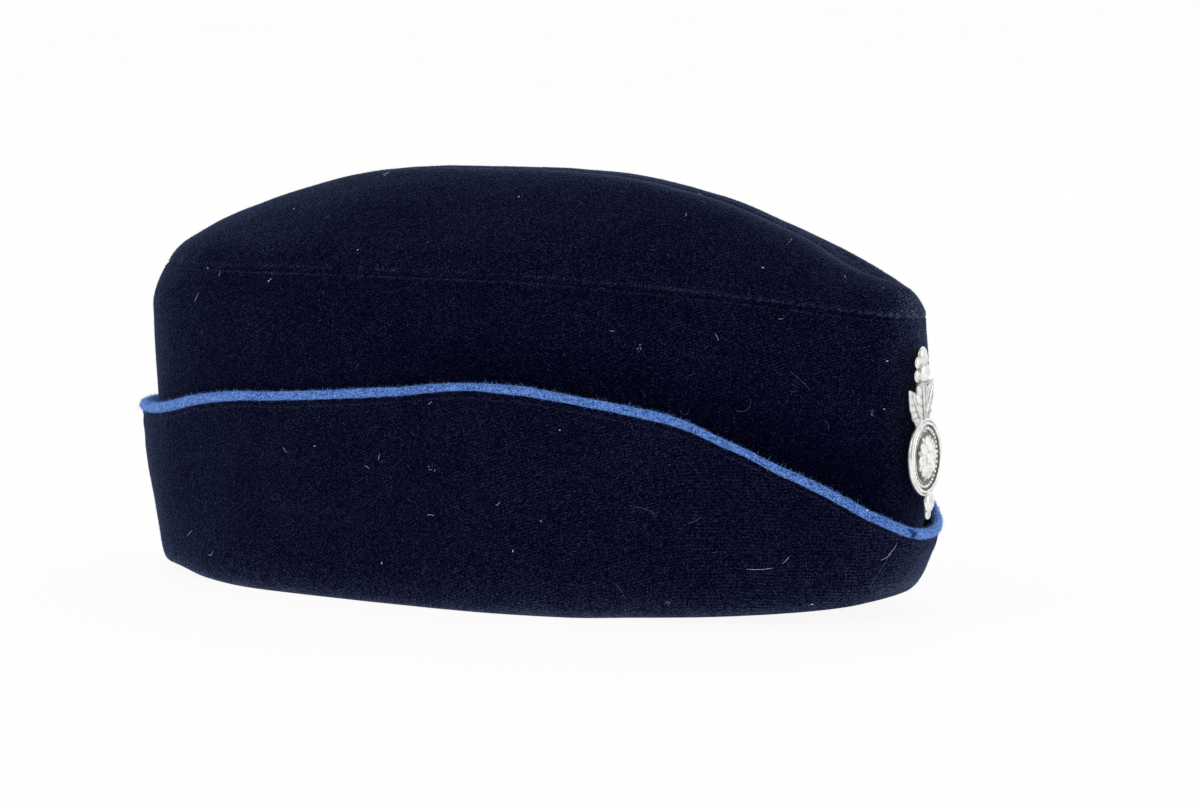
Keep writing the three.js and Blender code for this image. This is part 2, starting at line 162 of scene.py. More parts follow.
def crown_side(start, stop, v):
    """Cubic arc from seam points to crest points, for every v; result [v, column, 3]."""
    d = stop[:, :2] - start[:, :2]
    run = np.maximum(np.hypot(d[:, 0], d[:, 1]), 1e-6)
    d = d / run[:, None]
    tall = np.clip((stop[:, 2] - start[:, 2]) / CROWN_TALL, 0.05, 1)
    roll = np.minimum(CREST_ROLL, 0.4 * run)
    one, two = start.copy(), stop.copy()
    one[:, :2] += d * (CROWN_LEAN * tall)[:, None]
    one[:, 2] += CROWN_RISE * tall
    two[:, :2] -= d * roll[:, None]
    v = np.asarray(v, float)[:, None, None]
    return start * (1 - v) ** 3 + 3 * one * v * (1 - v) ** 2 + 3 * two * v * v * (1 - v) + stop * v ** 3


def curtain_face(t, z, inset=0.0):
    low, high = plan(t, FOLD, inset), plan(t, EDGE, inset - EDGE_OUT)
    lift = rim_lift(t)
    f = np.maximum(0, (z - lift) / (edge_height(t) - lift)) ** FLARE
    x = low[0] + (high[0] - low[0]) * f
    y = low[1] + (high[1] - low[1]) * f
    return np.stack(np.broadcast_arrays(x, y, z), -1)


def spread(n, point_at):
    """n angles evenly spaced along a closed plan line, the same on both sides."""
    fine = np.linspace(0, math.pi, 40001)
    p = point_at(fine)
    s = np.concatenate([[0], np.cumsum(np.linalg.norm(np.diff(p, axis=0), axis=1))])
    half = np.interp(np.linspace(0, s[-1], n // 2 + 1), s, fine)
    return np.concatenate([half, 2 * math.pi - half[-2:0:-1]])


def normals(grid, closed_rows=False):
    """Unit normals of a [row, column, 3] grid whose columns close on themselves."""
    du = np.roll(grid, -1, 1) - np.roll(grid, 1, 1)
    if closed_rows:
        dv = np.roll(grid, -1, 0) - np.roll(grid, 1, 0)
    else:
        dv = np.gradient(grid, axis=0)
    n = np.cross(du, dv)
    size = np.linalg.norm(n, axis=-1, keepdims=True)
    return np.where(size > 1e-9, n / np.maximum(size, 1e-9), (0, 0, 1.0))


def ripple(rng, angle, v, loop, low, high, size, count=26):
    """Seeded smooth unevenness, waves between low and high mm long, closed round the loop."""
    out = np.zeros(np.broadcast_shapes(np.shape(angle), np.shape(v)))
    for _ in range(count):
        wave = math.exp(rng.uniform(math.log(low), math.log(high)))
        way = rng.uniform(0, 2 * math.pi)
        turns = round(loop / wave * math.cos(way))
        k = 2 * math.pi / wave * math.sin(way)
        out = out + np.cos(turns * angle + k * v + rng.uniform(0, 2 * math.pi))
    return out * size / math.sqrt(count / 2)


def bump(x, centre, width):
    return np.exp(-((x - centre) / width) ** 2)


def ramp_up(x, low, high):
    t = np.clip((x - low) / (high - low), 0, 1)
    return t * t * (3 - 2 * t)


def part_frame(points):
    p = np.array(points, float)
    p[..., 0] -= MIDDLE_X
    return p


def grid_faces(rows, cols, closed_rows=False):
    r = np.arange(rows if closed_rows else rows - 1)
    a = (r[:, None] * cols + np.arange(cols)[None]).ravel()
    b = (r[:, None] * cols + (np.arange(cols)[None] + 1) % cols).ravel()
    up = ((r + 1) % rows)
    c = (up[:, None] * cols + (np.arange(cols)[None] + 1) % cols).ravel()
    d = (up[:, None] * cols + np.arange(cols)[None]).ravel()
    return np.stack([a, b, c, d], 1)


def make(name, verts, faces, material, **attributes):
    """A smooth mesh object from arrays in mm, with point attributes."""
    me = bpy.data.meshes.new(name)
    me.from_pydata((np.asarray(verts) * 0.001).tolist(), [], np.asarray(faces).tolist())
    for key, value in attributes.items():
        value = np.asarray(value, np.float32)
        kind = "FLOAT_VECTOR" if value.ndim == 2 else "FLOAT"
        layer = me.attributes.new(key, kind, "POINT")
        layer.data.foreach_set("vector" if value.ndim == 2 else "value", value.ravel())
    me.polygons.foreach_set("use_smooth", np.ones(len(me.polygons), bool))
    me.update()
    me.materials.append(material)
    ob = bpy.data.objects.new(name, me)
    bpy.context.scene.collection.objects.link(ob)
    return ob


def weld(verts, faces, attributes):
    """Joins points that coincide; faces that collapse are dropped."""
    key = np.round(verts * 1e4).astype(np.int64)
    _, first, back = np.unique(key, axis=0, return_index=True, return_inverse=True)
    back = back.ravel()
    tri = np.concatenate([faces[:, [0, 1, 2]], faces[:, [0, 2, 3]]])
    tri = back[tri]
    good = (tri[:, 0] != tri[:, 1]) & (tri[:, 1] != tri[:, 2]) & (tri[:, 0] != tri[:, 2])
    return verts[first], tri[good], {k: a[first] for k, a in attributes.items()}


# -------------------------------------------------------------- materials ----


class Nodes:
    """A material's node tree, written as short expressions."""

    def __init__(self, name):
        self.material = bpy.data.materials.new(name)
        self.material.use_nodes = True
        self.tree = self.material.node_tree
        self.shader = self.tree.nodes["Principled BSDF"]

    def put(self, socket, value):
        if hasattr(value, "is_output"):
            self.tree.links.new(value, socket)
        else:
            socket.default_value = value

    def node(self, kind, inputs=(), **settings):
        n = self.tree.nodes.new(kind)
        for key, value in settings.items():
            setattr(n, key, value)
        for key, value in dict(inputs).items():
            self.put(n.inputs[key], value)
        return n

    def math(self, operation, a, b=0.0, c=0.0):
        n = self.node("ShaderNodeMath", {0: a, 1: b, 2: c}, operation=operation)
        return n.outputs[0]

    def noise(self, scale, detail=2.0, rough=0.5, at=None, out="Fac"):
        """Noise with 'scale' bumps a millimetre, in the object's own space."""
        at = at or self.place()
        n = self.node("ShaderNodeTexNoise", {"Vector": at, "Scale": scale * 1000, "Detail": detail, "Roughness": rough})
        return n.outputs[out]

    def place(self):
        if not hasattr(self, "_place"):
            self._place = self.node("ShaderNodeTexCoord").outputs["Object"]
        return self._place

    def attribute(self, name, out="Vector"):
        return self.node("ShaderNodeAttribute", attribute_name=name).outputs[out]

    def ramp(self, fac, *stops):
        n = self.node("ShaderNodeValToRGB", {"Fac": fac})
        n.color_ramp.elements[0].position, n.color_ramp.elements[0].color = stops[0][0], (*stops[0][1], 1)
        n.color_ramp.elements[1].position, n.color_ramp.elements[1].color = stops[-1][0], (*stops[-1][1], 1)
        for pos, colour in stops[1:-1]:
            n.color_ramp.elements.new(pos).color = (*colour, 1)
        return n.outputs["Color"]

    def bump(self, height, distance, strength=1.0, normal=None):
        n = self.node("ShaderNodeBump", {"Height": height, "Distance": distance, "Strength": strength})
        if normal is not None:
            self.put(n.inputs["Normal"], normal)
        return n.outputs["Normal"]

    def set(self, **values):
        for key, value in values.items():
            self.put(self.shader.inputs[key.replace("_", " ")], value)
        return self.material


def wool(name, dark, mid, light, rubbed_and_painted_light, frayed_and_painted_light):
    m = Nodes(name)
    lay = m.node("ShaderNodeSeparateXYZ", {"Vector": m.attribute("cloth")})
    u, v = lay.outputs[0], lay.outputs[1]
    drift = m.noise(0.16, 2.0)
    # twill: fine ribs that climb slowly along each side of the cap, mostly hidden by the nap
    rib = m.math("MULTIPLY_ADD", u, 0.42, m.math("MULTIPLY_ADD", v, 0.91, m.math("MULTIPLY", drift, 0.7)))
    twill = m.math("SINE", m.math("MULTIPLY", rib, 2 * math.pi / 0.95))
    fibre = m.noise(1.9, 4.0, 0.72)
    fine = m.noise(4.6, 2.0, 0.6)
    nap = m.noise(0.5, 3.0, 0.6)
    cloud = m.noise(0.05, 3.0, 0.55)
    worn = m.noise(0.13, 3.0, 0.6)
    show = m.math("MULTIPLY_ADD", worn, 0.5, -0.06)
    f = m.math("MULTIPLY_ADD", fibre, 6.0, -2.5)
    f = m.math("MULTIPLY_ADD", fine, 2.4, m.math("ADD", f, -1.2))
    f = m.math("MULTIPLY_ADD", twill, show, f)
    f = m.math("MULTIPLY_ADD", nap, 0.7, m.math("ADD", f, -0.35))
    f = m.math("MULTIPLY_ADD", cloud, 0.5, m.math("ADD", f, -0.25))
    # A per-point value lifts the colour toward the two lightest stops: partly rubbed nap, partly painted light (edge
    # glow at the ends, highlights on the crests, a lit cleft and bottom fold); below zero it is painted shade.
    wear = m.attribute("wear", "Fac")
    f = m.math("MULTIPLY_ADD", wear, m.math("MULTIPLY_ADD", worn, 1.1, 0.45), f)
    colour = m.ramp(m.math("MULTIPLY", f, 0.45), (0.0, dark), (0.225, mid), (0.45, light), (0.75, rubbed_and_painted_light), (1.0, frayed_and_painted_light))
    height = m.math("MULTIPLY_ADD", twill, 0.12, m.math("MULTIPLY_ADD", fibre, 1.3, m.math("MULTIPLY", nap, 0.7)))
    rough = m.math("MULTIPLY_ADD", fibre, 0.2, 0.78)
    bloom = m.math("MAXIMUM", m.math("MULTIPLY_ADD", fibre, 1.9, -0.58), 0.02)
    m.set(Base_Color=colour, Roughness=rough, Specular_IOR_Level=0.015, Sheen_Weight=bloom, Sheen_Roughness=0.22, Sheen_Tint=(0.40, 0.56, 1.0, 1), Normal=m.bump(height, 0.0003, 0.8))
    return m.material


def piping_cloth(name):
    m = Nodes(name)
    lay = m.node("ShaderNodeSeparateXYZ", {"Vector": m.attribute("cloth")})
    u, v = lay.outputs[0], lay.outputs[1]
    drift = m.math("MULTIPLY", m.noise(0.4, 2.0), 0.9)
    one = m.math("SINE", m.math("MULTIPLY", m.math("ADD", m.math("ADD", u, v), drift), 2 * math.pi / 0.62))
    two = m.math("SINE", m.math("MULTIPLY", m.math("ADD", m.math("SUBTRACT", u, v), drift), 2 * math.pi / 0.62))
    weave = m.math("MULTIPLY", m.math("ADD", one, two), 0.5)
    fibre = m.noise(3.0, 4.0, 0.65)
    pit = m.noise(1.5, 2.0, 0.55)
    hollow = m.math("SMOOTH_MIN", m.math("MULTIPLY_ADD", pit, 3.4, -0.95), 1.0, 0.1)
    cloud = m.noise(0.1, 2.0)
    mark = m.attribute("mark", "Fac")
    f = m.math("MULTIPLY_ADD", weave, 0.26, m.math("MULTIPLY_ADD", fibre, 3.1, -0.95))
    f = m.math("MULTIPLY_ADD", cloud, 0.3, m.math("ADD", f, -0.15))
    f = m.math("MULTIPLY", f, m.math("MAXIMUM", hollow, 0.28))
    clean = m.math("SUBTRACT", 1.0, mark)
    f = m.math("MULTIPLY", f, clean)
    colour = m.ramp(f, (0.0, (0.004, 0.018, 0.16)), (0.1, (0.012, 0.034, 0.16)), (0.3, (0.052, 0.145, 0.49)), (0.52, (0.104, 0.26, 0.79)), (0.85, (0.27, 0.50, 1.0)))
    height = m.math("MULTIPLY_ADD", weave, 0.25, m.math("MULTIPLY_ADD", fibre, 0.6, hollow))
    m.set(Base_Color=colour, Roughness=m.math("MULTIPLY_ADD", fibre, 0.15, 0.82), Specular_IOR_Level=0.12, Sheen_Weight=m.math("MULTIPLY", clean, 0.25), Sheen_Roughness=0.5, Sheen_Tint=(0.65, 0.8, 1.0, 1), Normal=m.bump(height, 0.00025, 0.7))
    return m.material


def silver(name):
    m = Nodes(name)
    recess = m.attribute("recess", "Fac")
    stain = m.noise(0.35, 4.0, 0.6)
    fine = m.noise(3.0, 3.0, 0.6)
    f = m.math("MULTIPLY_ADD", recess, 0.85, m.math("MULTIPLY_ADD", stain, 0.9, m.math("MULTIPLY_ADD", fine, 0.5, -0.6)))
    colour = m.ramp(f, (0.0, (0.95, 0.945, 0.93)), (0.22, (0.76, 0.752, 0.73)), (0.5, (0.36, 0.352, 0.33)), (0.9, (0.075, 0.073, 0.068)))
    rough = m.math("MULTIPLY_ADD", f, 0.3, m.math("MULTIPLY_ADD", fine, 0.12, 0.12))
    m.set(Base_Color=colour, Metallic=1.0, Roughness=rough, Normal=m.bump(fine, 0.00007, 0.7))
    return m.material


def thread(name, dark, light, sheen=0.1):
    m = Nodes(name)
    f = m.noise(1.6, 3.0, 0.6)
    m.set(Base_Color=m.ramp(f, (0.3, dark), (0.7, light)), Roughness=m.math("MULTIPLY_ADD", f, 0.2, 0.7), Specular_IOR_Level=0.1, Sheen_Weight=sheen, Sheen_Roughness=0.4, Sheen_Tint=(0.6, 0.75, 1.0, 1))
    return m.material


# The two lightest stops are reached where rubbed nap and painted light lift the colour.
NAVY = ((0.0001, 0.0003, 0.0062), (0.0007, 0.0012, 0.0140), (0.0063, 0.0078, 0.0298), (0.0260, 0.0320, 0.0640), (0.0620, 0.0740, 0.1250))
m_wool = wool("navy_wool_cloth", *NAVY)
# The loose fibres are much lighter than the cloth: painted glow that lightens the edges and speckles the nap.
m_fuzz_painted_glow = thread("navy_wool_fuzz_painted_glow", (0.016, 0.021, 0.055), (0.100, 0.118, 0.215))
m_thread = thread("navy_thread", (0.003, 0.004, 0.014), (0.014, 0.017, 0.042))
m_piping = piping_cloth("blue_piping_cloth")
m_pipe_fuzz = thread("blue_piping_fuzz", (0.066, 0.185, 0.62), (0.25, 0.47, 1.0))
m_silver = silver("silver_plate")
m_lint = thread("lint_pale", (0.60, 0.66, 0.80), (0.93, 0.97, 1.0))
m_lint_grey = thread("lint_grey", (0.07, 0.08, 0.115), (0.24, 0.26, 0.33))
m_lint_red = thread("lint_red", (0.07, 0.010, 0.016), (0.15, 0.02, 0.03))
m_lint_orange = thread("lint_orange", (0.62, 0.16, 0.10), (1.0, 0.72, 0.62))

# ----------------------------------------------------------------- camera ----

AZIMUTH, ELEVATION, ROLL = math.radians(25.0), math.radians(7.6715), math.radians(-0.3673)
DISTANCE, FOCAL = 1300.0, 4160.0            # mm, and pixels of a 1200 x 801 picture
TARGET, TARGET_PX = np.array([-MIDDLE_X, 0.0, 70.45]), (520.963, 362.556)

cam_back = np.array([math.sin(AZIMUTH) * math.cos(ELEVATION), -math.cos(AZIMUTH) * math.cos(ELEVATION), math.sin(ELEVATION)])
cam_right = np.array([math.cos(AZIMUTH), math.sin(AZIMUTH), 0.0])
cam_up = np.cross(cam_back, cam_right)
cam_r = cam_right * math.cos(ROLL) + cam_up * math.sin(ROLL)
cam_u = -cam_right * math.sin(ROLL) + cam_up * math.cos(ROLL)


def pixel_ray(px, py):
    d = cam_r * ((px - 600.0) / FOCAL) - cam_u * ((py - 400.5) / FOCAL) - cam_back
    return d / np.linalg.norm(d)


ray = pixel_ray(*TARGET_PX)
cam_pos = TARGET - ray * DISTANCE / float(-ray @ cam_back)


def on_side(px, py, y):
    """Where the view line through a pixel meets the upright plane at y, in table coordinates."""
    d = pixel_ray(px, py)
    p = cam_pos + d * ((y - cam_pos[1]) / d[1])
    return p[0] + MIDDLE_X, p[2]


cam_data = bpy.data.cameras.new("camera")
cam_data.sensor_fit = "HORIZONTAL"
cam_data.sensor_width = 36.0
cam_data.lens = 36.0 * FOCAL / 1200.0
cam_data.clip_start, cam_data.clip_end = 0.05, 100.0
camera = bpy.data.objects.new("camera", cam_data)
bpy.context.scene.collection.objects.link(camera)
m = Matrix.Identity(4)
for k in range(3):
    m[k][0], m[k][1], m[k][2], m[k][3] = cam_r[k], cam_u[k], cam_back[k], cam_pos[k] * 0.001
camera.matrix_world = m
bpy.context.scene.camera = camera

# ------------------------------------------------------------------- body ----

rng = np.random.default_rng(20)
T = spread(COLUMNS, lambda t: body_point(t, 2.2))
ring = body_point(T, 2.2)
LOOP = float(np.linalg.norm(np.roll(ring, -1, 0) - ring, axis=1).sum())
STEP = LOOP / COLUMNS
PHASE = 2 * math.pi * np.arange(COLUMNS) / COLUMNS
ARC = np.minimum(np.arange(COLUMNS), COLUMNS - np.arange(COLUMNS)) * STEP

NEAR = np.array([0, 0.22, 0.45, 0.7, 0.92, 1.15, 1.4, 1.7, 2.05, 2.5, 3.1, 3.9, 4.9, 6.1, 7.5, 9.2, 11.0, 13.2])


def seam_profile(h, stitch, pitch_phase):
    """Outward push of cloth beside the crown seam, h from the seam, stitched or not."""
    push = -0.42 * bump(h, 0, 0.5) + 0.25 * bump(h, 2.3, 1.4)
    if stitch:
        push = push - 0.12 * bump(h, SEAM_STITCH, 0.42) + 0.08 * np.cos(pitch_phase) * bump(h, SEAM_STITCH, 0.75)
    return push


seam_turns = round(LOOP / SEAM_PITCH)
pucker = np.random.default_rng(7)

levels_out = np.concatenate([
    np.linspace(0, 0.55, 7)[:-1], np.linspace(0.55, 2.15, 30)[:-1], (3 - NEAR / 16.0)[::-1],
])
h_out = (3 - levels_out) * 16.0
body_out = body_point(T[None], levels_out[:, None])
seam_line = body_point(T, np.array(3.0))
body_out_v = np.concatenate([[0], np.cumsum(np.linalg.norm(np.diff(body_out[:, COLUMNS // 4], axis=0), axis=1))])
n_out = normals(body_out)
hh, vv = h_out[:, None], body_out_v[:, None]
flat_end = 1 - 0.7 * ramp_up(seam_line[:, 0], 116, 130) - 0.75 * ramp_up(-seam_line[:, 0], 104, 118)
flat_end = flat_end * (1 - 0.66 * ramp_up(-seam_line[:, 0], -10, 60))
speckle = 0.15 + 1.7 * np.random.default_rng(11).random(COLUMNS)[None]        # the nap breaks up the line of the seam
push = seam_profile(hh, True, seam_turns * PHASE[None]) * flat_end[None]
push = push + ripple(rng, PHASE[None], vv, LOOP, 45, 190, 0.42) * np.clip(vv / 30, 0, 1) * (1 - 0.6 * bump(hh, 0, 7))
push = push + ripple(rng, PHASE[None], vv, LOOP, 9, 26, 0.035)
push = push + ripple(pucker, PHASE[None], 0.3 * hh, LOOP, 7, 30, 0.07) * np.exp(-hh / 6) * np.clip(hh / 1.5, 0, 1)
# the soft hollow above the piping on the near side
dx, dz = on_side(480, 368, -45.0)
near_side = (body_out[..., 1] < 0)
push = push - 1.1 * near_side * bump(body_out[..., 0], dx, 24) * bump(body_out[..., 2], dz, 9)
body_out = body_out + n_out * push[..., None]
body_out[..., 0] += 0.9 * np.exp(-hh / 3.0) * ramp_up(-seam_line[:, 0], 98, 120)[None]

level_in = np.array([3.0, 2.9, 2.75, 2.5, 2.2, 1.9, 1.6, 1.3, 1.0, 0.7, 0.4, 0.15, 0.02])
body_in = body_point(T[None], level_in[:, None], BODY_WALL)
body_in = body_in - normals(body_in) * (ripple(rng, PHASE[None], level_in[:, None] * 34, LOOP, 40, 160, 0.3)[..., None] * np.array([0, 0, 0, .3, 1, 1, 1, 1, 1, 1, .6, .2, 0])[:, None, None])
body_in[0, :, 2] -= 0.05
hem = (body_out[0] + body_in[-1]) / 2
hem[:, 2] -= 0.35
body_grid = np.concatenate([body_out, body_in, hem[None]])
rows = len(body_grid)
body_v = np.concatenate([body_out_v, body_out_v[-1] + 2 + np.cumsum(np.full(len(level_in) + 1, 8.0))])
body_cloth = np.stack(np.broadcast_arrays(ARC[None], body_v[:, None], 0.0), -1)
# Painted edge glow: the front and back ends of the body are lighter.
body_wear = 0.75 * ramp_up(body_grid[..., 0], 124, 136) + 0.3 * ramp_up(-body_grid[..., 0], 118, 129)
stitch_h = np.concatenate([h_out, np.full(rows - len(h_out), 50.0)])[:, None]
# Lighter dots along the stitch row below the seam.
body_wear = body_wear + 0.6 * speckle * bump(stitch_h, SEAM_STITCH, 0.5) * np.cos(seam_turns * PHASE[None] / 2) ** 2 * (1 - 0.6 * ramp_up(body_grid[..., 0], 10, 60))
above = body_grid[..., 2] - edge_height(T)[None]
# Painted shade: darker just above the piping on the front half, and beside the badge.
body_wear = body_wear - 0.2 * bump(above, 10, 8) * ramp_up(body_grid[..., 0], -60, 0) - 0.16 * bump(body_grid[..., 0], 112, 16) * (1 - ramp_up(above, 16, 34))
body_wear = body_wear * np.where(np.arange(rows) < len(levels_out), 1.0, 0.0)[:, None]
body = make("body_cloth", part_frame(body_grid.reshape(-1, 3)), grid_faces(rows, COLUMNS, True), m_wool, cloth=body_cloth.reshape(-1, 3), wear=body_wear.ravel())
BODY_OUT_ROWS = len(levels_out)

# ------------------------------------------------------------------ crown ----

seam = body_point(T, np.array(3.0))
seam_in = body_point(T, np.array(3.0), CROWN_WALL)
cx, cy, cz, c_open, c_cleft, c_roll = crest(T)
ix, iy, iz, i_open, i_cleft, i_roll = crest(T, CROWN_WALL)
side = np.where(np.abs(np.sin(T)) < 1e-9, 0.0, np.sign(np.sin(T)))
# the near crest sags a little towards the front; the two crests lean on each other
cz = cz - 1.4 * (side < 0) * bump(cx, 112, 9) * np.minimum(1, 3 * c_open)
c_roll = 0.35 * c_roll + 1.2 * (side > 0) * bump(cx, 112, 9) * np.minimum(1, 3 * c_open)
top = np.stack([cx, side * cy, cz], -1)
under = np.stack([ix, side * (iy + 0.8 * i_open), iz - CROWN_DROP], -1)

dense_v = np.linspace(0, 1, 241)
dense = crown_side(seam, top, dense_v)
dense_s = np.concatenate([np.zeros((1, COLUMNS)), np.cumsum(np.linalg.norm(np.diff(dense, axis=0), axis=2), axis=0)])
length = dense_s[-1]
SIDE_ROWS = 46
near_rows = NEAR[:-2]
scale = np.minimum(1, 0.55 * length / near_rows[-1])
rest = np.linspace(0, 1, SIDE_ROWS - len(near_rows) + 1)[1:]
s_rows = np.concatenate([
    near_rows[:, None] * scale[None],
    near_rows[-1] * scale[None] + rest[:, None] * (length - near_rows[-1] * scale)[None],
])
crown_out = np.empty((len(s_rows), COLUMNS, 3))
for i in range(COLUMNS):
    for k in range(3):
        crown_out[:, i, k] = np.interp(s_rows[:, i], dense_s[:, i], dense[:, i, k])

# over the crest and down into the cleft
slot = 0.12 * CLEFT_HALF * c_open
lean_in = 0.85 * (side > 0) * bump(cx, 112, 12)
fold_rows = []
for a in np.radians([18, 36, 54, 72, 90]):
    slope = lean_in * math.sin(a) + (1 - lean_in) * (1 - math.cos(a))
    fold_rows.append(np.stack([cx, side * (cy - (cy - slot) * math.sin(a)), cz - c_roll * slope], -1))
press = np.clip(c_cleft - c_roll, 0.02, 3.2)              # below this the two layers press together
for f in (0.12, 0.28, 0.46, 0.64, 0.82, 0.95):
    fold_rows.append(np.stack([cx, side * slot * (1 - 0.5 * f * f) * (1 if f < 0.9 else 0.6), cz - c_roll - f * press], -1))
fold_rows.append(np.stack([cx, 0 * cy, cz - c_roll - press], -1))
crown_top = np.stack(fold_rows)
crown_full = np.concatenate([crown_out, crown_top])
s_full = np.concatenate([s_rows, length[None] + np.cumsum(np.full((len(fold_rows), 1), 1.6), axis=0)])
n_crown = normals(crown_full)

fade = np.clip((length[None] - s_full) / 6 + 1, 0, 1)          # no push down in the cleft
ends = np.clip(length / 14, 0.15, 1)[None]
push = (seam_profile(s_full, False, 0) + 0.3 * bump(s_full, 1.15, 0.6)) * np.clip(length / 10, 0.4, 1)[None] * flat_end[None]
push = push + (0.5 * bump(s_full, 7.5, 5.0) * ends + ripple(rng, PHASE[None], s_full, LOOP, 40, 150, 0.4) * np.clip(s_full / 12, 0, 1) * np.clip((length[None] - s_full) / 22, 0, 1) * ends) * fade
push = push + ripple(rng, PHASE[None], s_full, LOOP, 9, 26, 0.035) * fade
# the slack just above the seam on the near side
dx, dz = on_side(640, 276, -42.0)
push = push - 0.9 * (crown_full[..., 1] < 0) * bump(crown_full[..., 0], dx, 26) * bump(s_full, 6.5, 4.0)
push = push + ripple(pucker, PHASE[None], 0.3 * s_full, LOOP, 7, 30, 0.08) * np.exp(-s_full / 5) * np.clip(s_full / 1.2, 0, 1)
crown_full = crown_full + n_crown * push[..., None]
crown_full[..., 0] += 1.5 * np.exp(-s_full / 8) * ramp_up(-seam_line[:, 0], 98, 120)[None]
crown_full[len(s_rows) - 1:, :, 1] = np.where(np.abs(side)[None] > 0, crown_full[len(s_rows) - 1:, :, 1], 0)
crown_full[-1, :, 1] = 0
crown_full[:, [0, COLUMNS // 2], 1] = 0

inner_v = np.array([1, 0.88, 0.74, 0.6, 0.46, 0.33, 0.2, 0.1, 0.03, 0.0])
crown_in = crown_side(seam_in, under, inner_v)
crown_in[-1, :, 2] += 0.05
web = (CLEFT_HALF + CROWN_WALL) * i_open
hang = [np.stack([ix, 0 * iy, under[:, 2] - i_cleft], -1)]
for f, w in ((0.93, 0.62), (0.75, 0.86), (0.5, 0.95), (0.25, 1.0), (0.0, 1.0)):
    hang.append(np.stack([ix, side * web * w, under[:, 2] - i_roll - f * (i_cleft - i_roll)], -1))
hang.append(np.stack([ix, side * (web + (iy + 0.8 * i_open - web) * 0.3), under[:, 2] - 0.3 * i_roll], -1))
crown_grid = np.concatenate([np.stack(hang), crown_in, crown_full])
crown_rows = len(crown_grid)
crown_in_rows = crown_rows - len(crown_full)
# mirrored rows in the cleft share their points
mirror = (COLUMNS - np.arange(COLUMNS)) % COLUMNS
for r in (0, crown_rows - 1):
    crown_grid[r] = (crown_grid[r] + crown_grid[r][mirror]) / 2
    crown_grid[r, :, 1] = 0
crown_v = np.concatenate([np.repeat(np.linspace(-90, -4, crown_in_rows)[:, None], COLUMNS, 1), s_full])
crown_cloth = np.stack(np.broadcast_arrays(ARC[None], crown_v, 0.0), -1)
# Lighter ends of the crown: rubbed nap at the front, and painted edge glow at both ends.
crown_wear = 0.8 * ramp_up(crown_grid[..., 0], 119, 134) + 0.3 * ramp_up(-crown_grid[..., 0], 104, 124)
crown_wear = crown_wear + 0.3 * bump(crown_v, length[None], 2.2)        # painted highlight along the crests
crown_wear = crown_wear + (0.3 + 0.22 * ramp_up(crown_grid[..., 0], 10, 60)) * speckle * bump(crown_v, 1.0, 0.6)        # lighter dots along the seam
# Painted light down into the cleft, stronger on the far crest towards the front.
crown_wear = crown_wear + (0.35 + 0.45 * (side > 0)[None] * ramp_up(crown_grid[..., 0], 70, 100)) * ramp_up(crown_v - length[None], -1, 2)
crown_wear = crown_wear * np.where(np.arange(crown_rows) < crown_in_rows, 0.0, 1.0)[:, None]
cv, cf, ca = weld(part_frame(crown_grid.reshape(-1, 3)), grid_faces(crown_rows, COLUMNS), dict(cloth=crown_cloth.reshape(-1, 3), wear=crown_wear.ravel()))
crown = make("crown_cloth", cv, cf, m_wool, **ca)

# ---------------------------------------------------------------- curtain ----

lift, edge = rim_lift(T) + 0.9 * bump(plan(T, FOLD)[0], -111, 8), edge_height(T)
pinch = bump(plan(T, FOLD)[0], FOLD["back"], 16)
FOOT, FOOT_IN = 7.0 - 5.3 * pinch, 2.2 - 1.25 * pinch      # height and depth of the soft roll at the fold, sharper at the back
top_rows = [(0.5, 1.5), (0.9, 1.25), (1.2, 0.95), (1.5, 0.6), (1.8, 0.3), (2.1, 0.1), (2.4, 0), (2.7, 0), (3.0, 0), (3.3, 0), (3.6, 0), (4.0, 0), (4.5, 0), (5.2, 0), (6.2, 0), (7.5, 0), (9.2, 0)]
face = [curtain_face(T, edge - d, i) for d, i in top_rows]
last = edge - top_rows[-1][0]
MID_ROWS = 30
for f in np.linspace(0, 1, MID_ROWS + 1)[1:]:
    face.append(curtain_face(T, last + (lift + FOOT - last) * f))
drop = np.concatenate([np.repeat(np.array([d for d, _ in top_rows])[:, None], COLUMNS, 1), np.stack([edge - p[:, 2] for p in face[len(top_rows):]])])
face = np.stack(face)
face_n = -normals(face)                                    # these rows run down
high = (face[..., 2] - lift) / (edge - lift)
vv = drop
push = -0.28 * bump(drop, EDGE_STITCH, 0.5) + 0.2 * bump(drop, 5.6, 1.8)
edge_turns = round(LOOP / EDGE_PITCH)
push = push - 0.09 * np.cos(edge_turns * PHASE[None]) * bump(drop, EDGE_STITCH, 0.9)
push = push + ripple(pucker, PHASE[None], 0.3 * drop, LOOP, 7, 30, 0.07) * np.exp(-np.maximum(drop - 3, 0) / 5) * np.clip((drop - 2.4) / 1.5, 0, 1)
soft = np.clip((drop - 3) / 10, 0, 1)
push = push + ripple(rng, PHASE[None], vv, LOOP, 45, 180, 0.45) * soft * np.clip(high * 3.5, 0.3, 1)
push = push + ripple(rng, PHASE[None], vv, LOOP, 9, 26, 0.035) * np.clip((drop - 2.2) / 1.5, 0, 1)
dx, dz = on_side(500, 424, -50.0)
near_side = face[..., 1] < 0
push = push - 1.0 * near_side * bump(face[..., 0], dx, 13) * bump(face[..., 2], dz, 6.5) * soft
push = push + 0.5 * near_side * bump(face[..., 0], dx + 4, 22) * bump(face[..., 2], dz - 15, 9)
# the fold swells a little under the middle of the near side and stays square at the back
bx0, _ = on_side(490, 600, -47.0)
push = push + 2.4 * near_side * bump(face[..., 0], bx0, 42) * bump(face[..., 2], 2, 17)
push = push + 0.8 * bump(face[..., 0], -122, 9) * bump(face[..., 2], 7, 8)
face = face + face_n * push[..., None]

